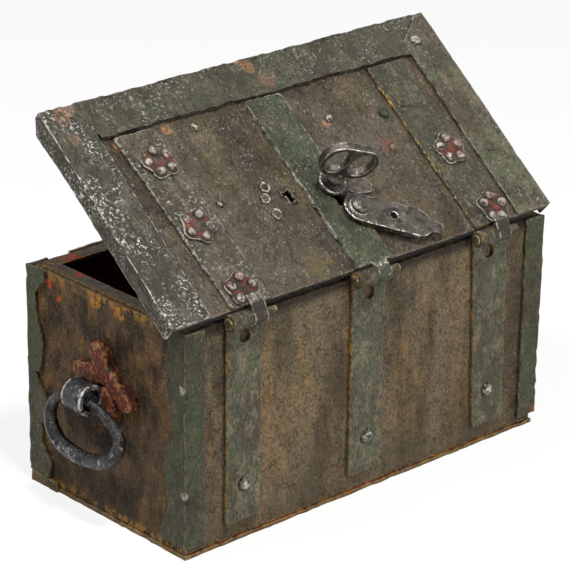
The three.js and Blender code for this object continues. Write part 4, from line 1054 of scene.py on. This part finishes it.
def measure_ridges(mesh, full_height):
    """From -1 in hollows to 1 on ridges, which are reached at this height in millimetres."""
    points = coordinates(mesh)
    around = points
    for _ in range(ROUNDS_WIDE):
        around = neighbours_mean(mesh, around)
    normals = np.empty(len(points) * 3)
    mesh.vertex_normals.foreach_get("vector", normals)
    out = np.einsum("ij,ij->i", points - around, normals.reshape(-1, 3)) / (full_height * MM)
    write_measure(mesh, "ridge", np.clip(neighbours_mean(mesh, out), -1, 1))


print("ridges are measured over", ROUNDS_WIDE, "rounds of neighbours")

# %% [markdown]
# A forged piece is its melted copy, hammered and measured. The bosses of rosettes and hinge leaves
# are bent or half lost, so a slow noise makes some grow and others sink. The red paint needs to
# know how high each point stands.

# %% Forging a piece
PLATE_TOP_N = 1.7
TONGUE_TO_V = 6


def raise_bosses(mesh):
    points = coordinates(mesh)
    height = np.clip(lid_frame(points)[:, 2] - PLATE_TOP_N, 0, 2)
    grown = height * np.clip(0.5 + 2.4 * unevenness(points, 5, 9)[:, 0], -0.7, 1.6)
    put_coordinates(mesh, points + grown[:, None] * np.array(LID_N) * MM)
    write_measure(mesh, "raised", np.clip(height * 1.6 - 0.2, 0, 1))


def measure_from_middle(mesh, has_tongue):
    """How far each point is from its plate's middle. A hinge leaf's tongue isn't counted."""
    points = coordinates(mesh)
    plate = points[lid_frame(points)[:, 1] > TONGUE_TO_V] if has_tongue else points
    write_measure(mesh, "middle", np.linalg.norm(points - plate.mean(axis=0), axis=1) / MM)


def forged_piece(node, finish, voxel=0.4, rounds=3, depth=0.15, size=4.0, fine=0.05, full_height=0.1):
    mesh = melted_copy(node, voxel, rounds)
    if finish in (rosette_finish, leaf_finish):
        raise_bosses(mesh)
    hammer(mesh, depth, size, fine)
    measure_ridges(mesh, full_height)
    measure_from_middle(mesh, node.startswith("hinge_leaf"))
    for face in mesh.polygons:
        face.use_smooth = True
    return place_piece(node + "_forged", mesh, node, finish)


print("bosses start at n =", PLATE_TOP_N)

# %% [markdown]
# Ring, staple and plate at each end, the hinge pins, and what turns or swings on the lid. The
# handles are coarse smith's work. The key and its cover are finer and get smaller voxels.

# %% Handles, hinge pins, key and cover
for side in ("left", "right"):
    forged_piece(f"ring_handle_{side}", polished, voxel=0.5, rounds=6, size=7, full_height=0.3)
    forged_piece(f"handle_staple_{side}", polished, voxel=0.45, rounds=4, size=5, fine=0.03)
    forged_piece(
        f"handle_plate_{side}", handle_plate_finish, voxel=0.45, rounds=2, depth=0.7, size=5, fine=0.25,
    )
for place in ("left", "centre", "right"):
    forged_piece(f"hinge_pin_{place}", hinge_finish, voxel=0.35)
forged_piece("key", rubbed, voxel=0.3, rounds=5, depth=0.1)
forged_piece("keyhole_cover", rubbed, voxel=0.3, rounds=2, depth=0.12)
forged_piece("cover_rivet", rubbed, voxel=0.25, rounds=2, depth=0.05)
forged_piece("keyhole_tab", tab_finish, voxel=0.3)
print("faces so far", faces_made())

# %% [markdown]
# Three rosettes are left on the lid. Of the fourth only a faint flat mark stays, so its bosses
# are pressed down to a quarter of their height, and it is painted like the strap beside it. The
# hinge leaves are rosettes with a tongue that rolls round the pin.

# %% Rosettes and hinge leaves
MARK_TOP_N = 0.2
PRESSED = 0.75
for name in ("right_front", "right_rear", "left_rear"):
    forged_piece(f"lid_rosette_{name}", rosette_finish, voxel=0.3, depth=0.35, size=5, fine=0.1)
worn_flat = forged_piece("lid_rosette_left_front", far_strap_finish, voxel=0.3, rounds=6, depth=0.1, size=5)
points = coordinates(worn_flat.data)
height = lid_frame(points)[:, 2]
flattened = np.where(height > MARK_TOP_N, (height - MARK_TOP_N) * -PRESSED, 0)
put_coordinates(worn_flat.data, points + flattened[:, None] * np.array(LID_N) * MM)
write_measure(worn_flat.data, "edge_distance", np.full(len(points), FAR_FROM_EDGE))
for side in ("left", "right"):
    forged_piece(f"hinge_leaf_{side}", leaf_finish, voxel=0.3, depth=0.1, size=5)
print("pressed down by", round(float(-flattened.min()), 2), "mm")

# %% [markdown]
# The lock hangs under the lid: a slide, two side bolts, their keepers, a bridge, a spring and the
# drill pin. It was filed flat and is seldom seen, so its voxel is coarser.

# %% Lock under the lid
lock_nodes = ["lock_slide", "lock_bridge", "bolt_spring", "drill_pin"]
for side in ("left", "right"):
    for part in ("side_bolt", "bolt_keeper_inner", "bolt_keeper_outer", "tongue_keeper"):
        lock_nodes.append(f"{part}_{side}")
for node in lock_nodes:
    forged_piece(node, lock_finish, voxel=0.6, rounds=2, depth=0.05)
print("faces so far", faces_made())
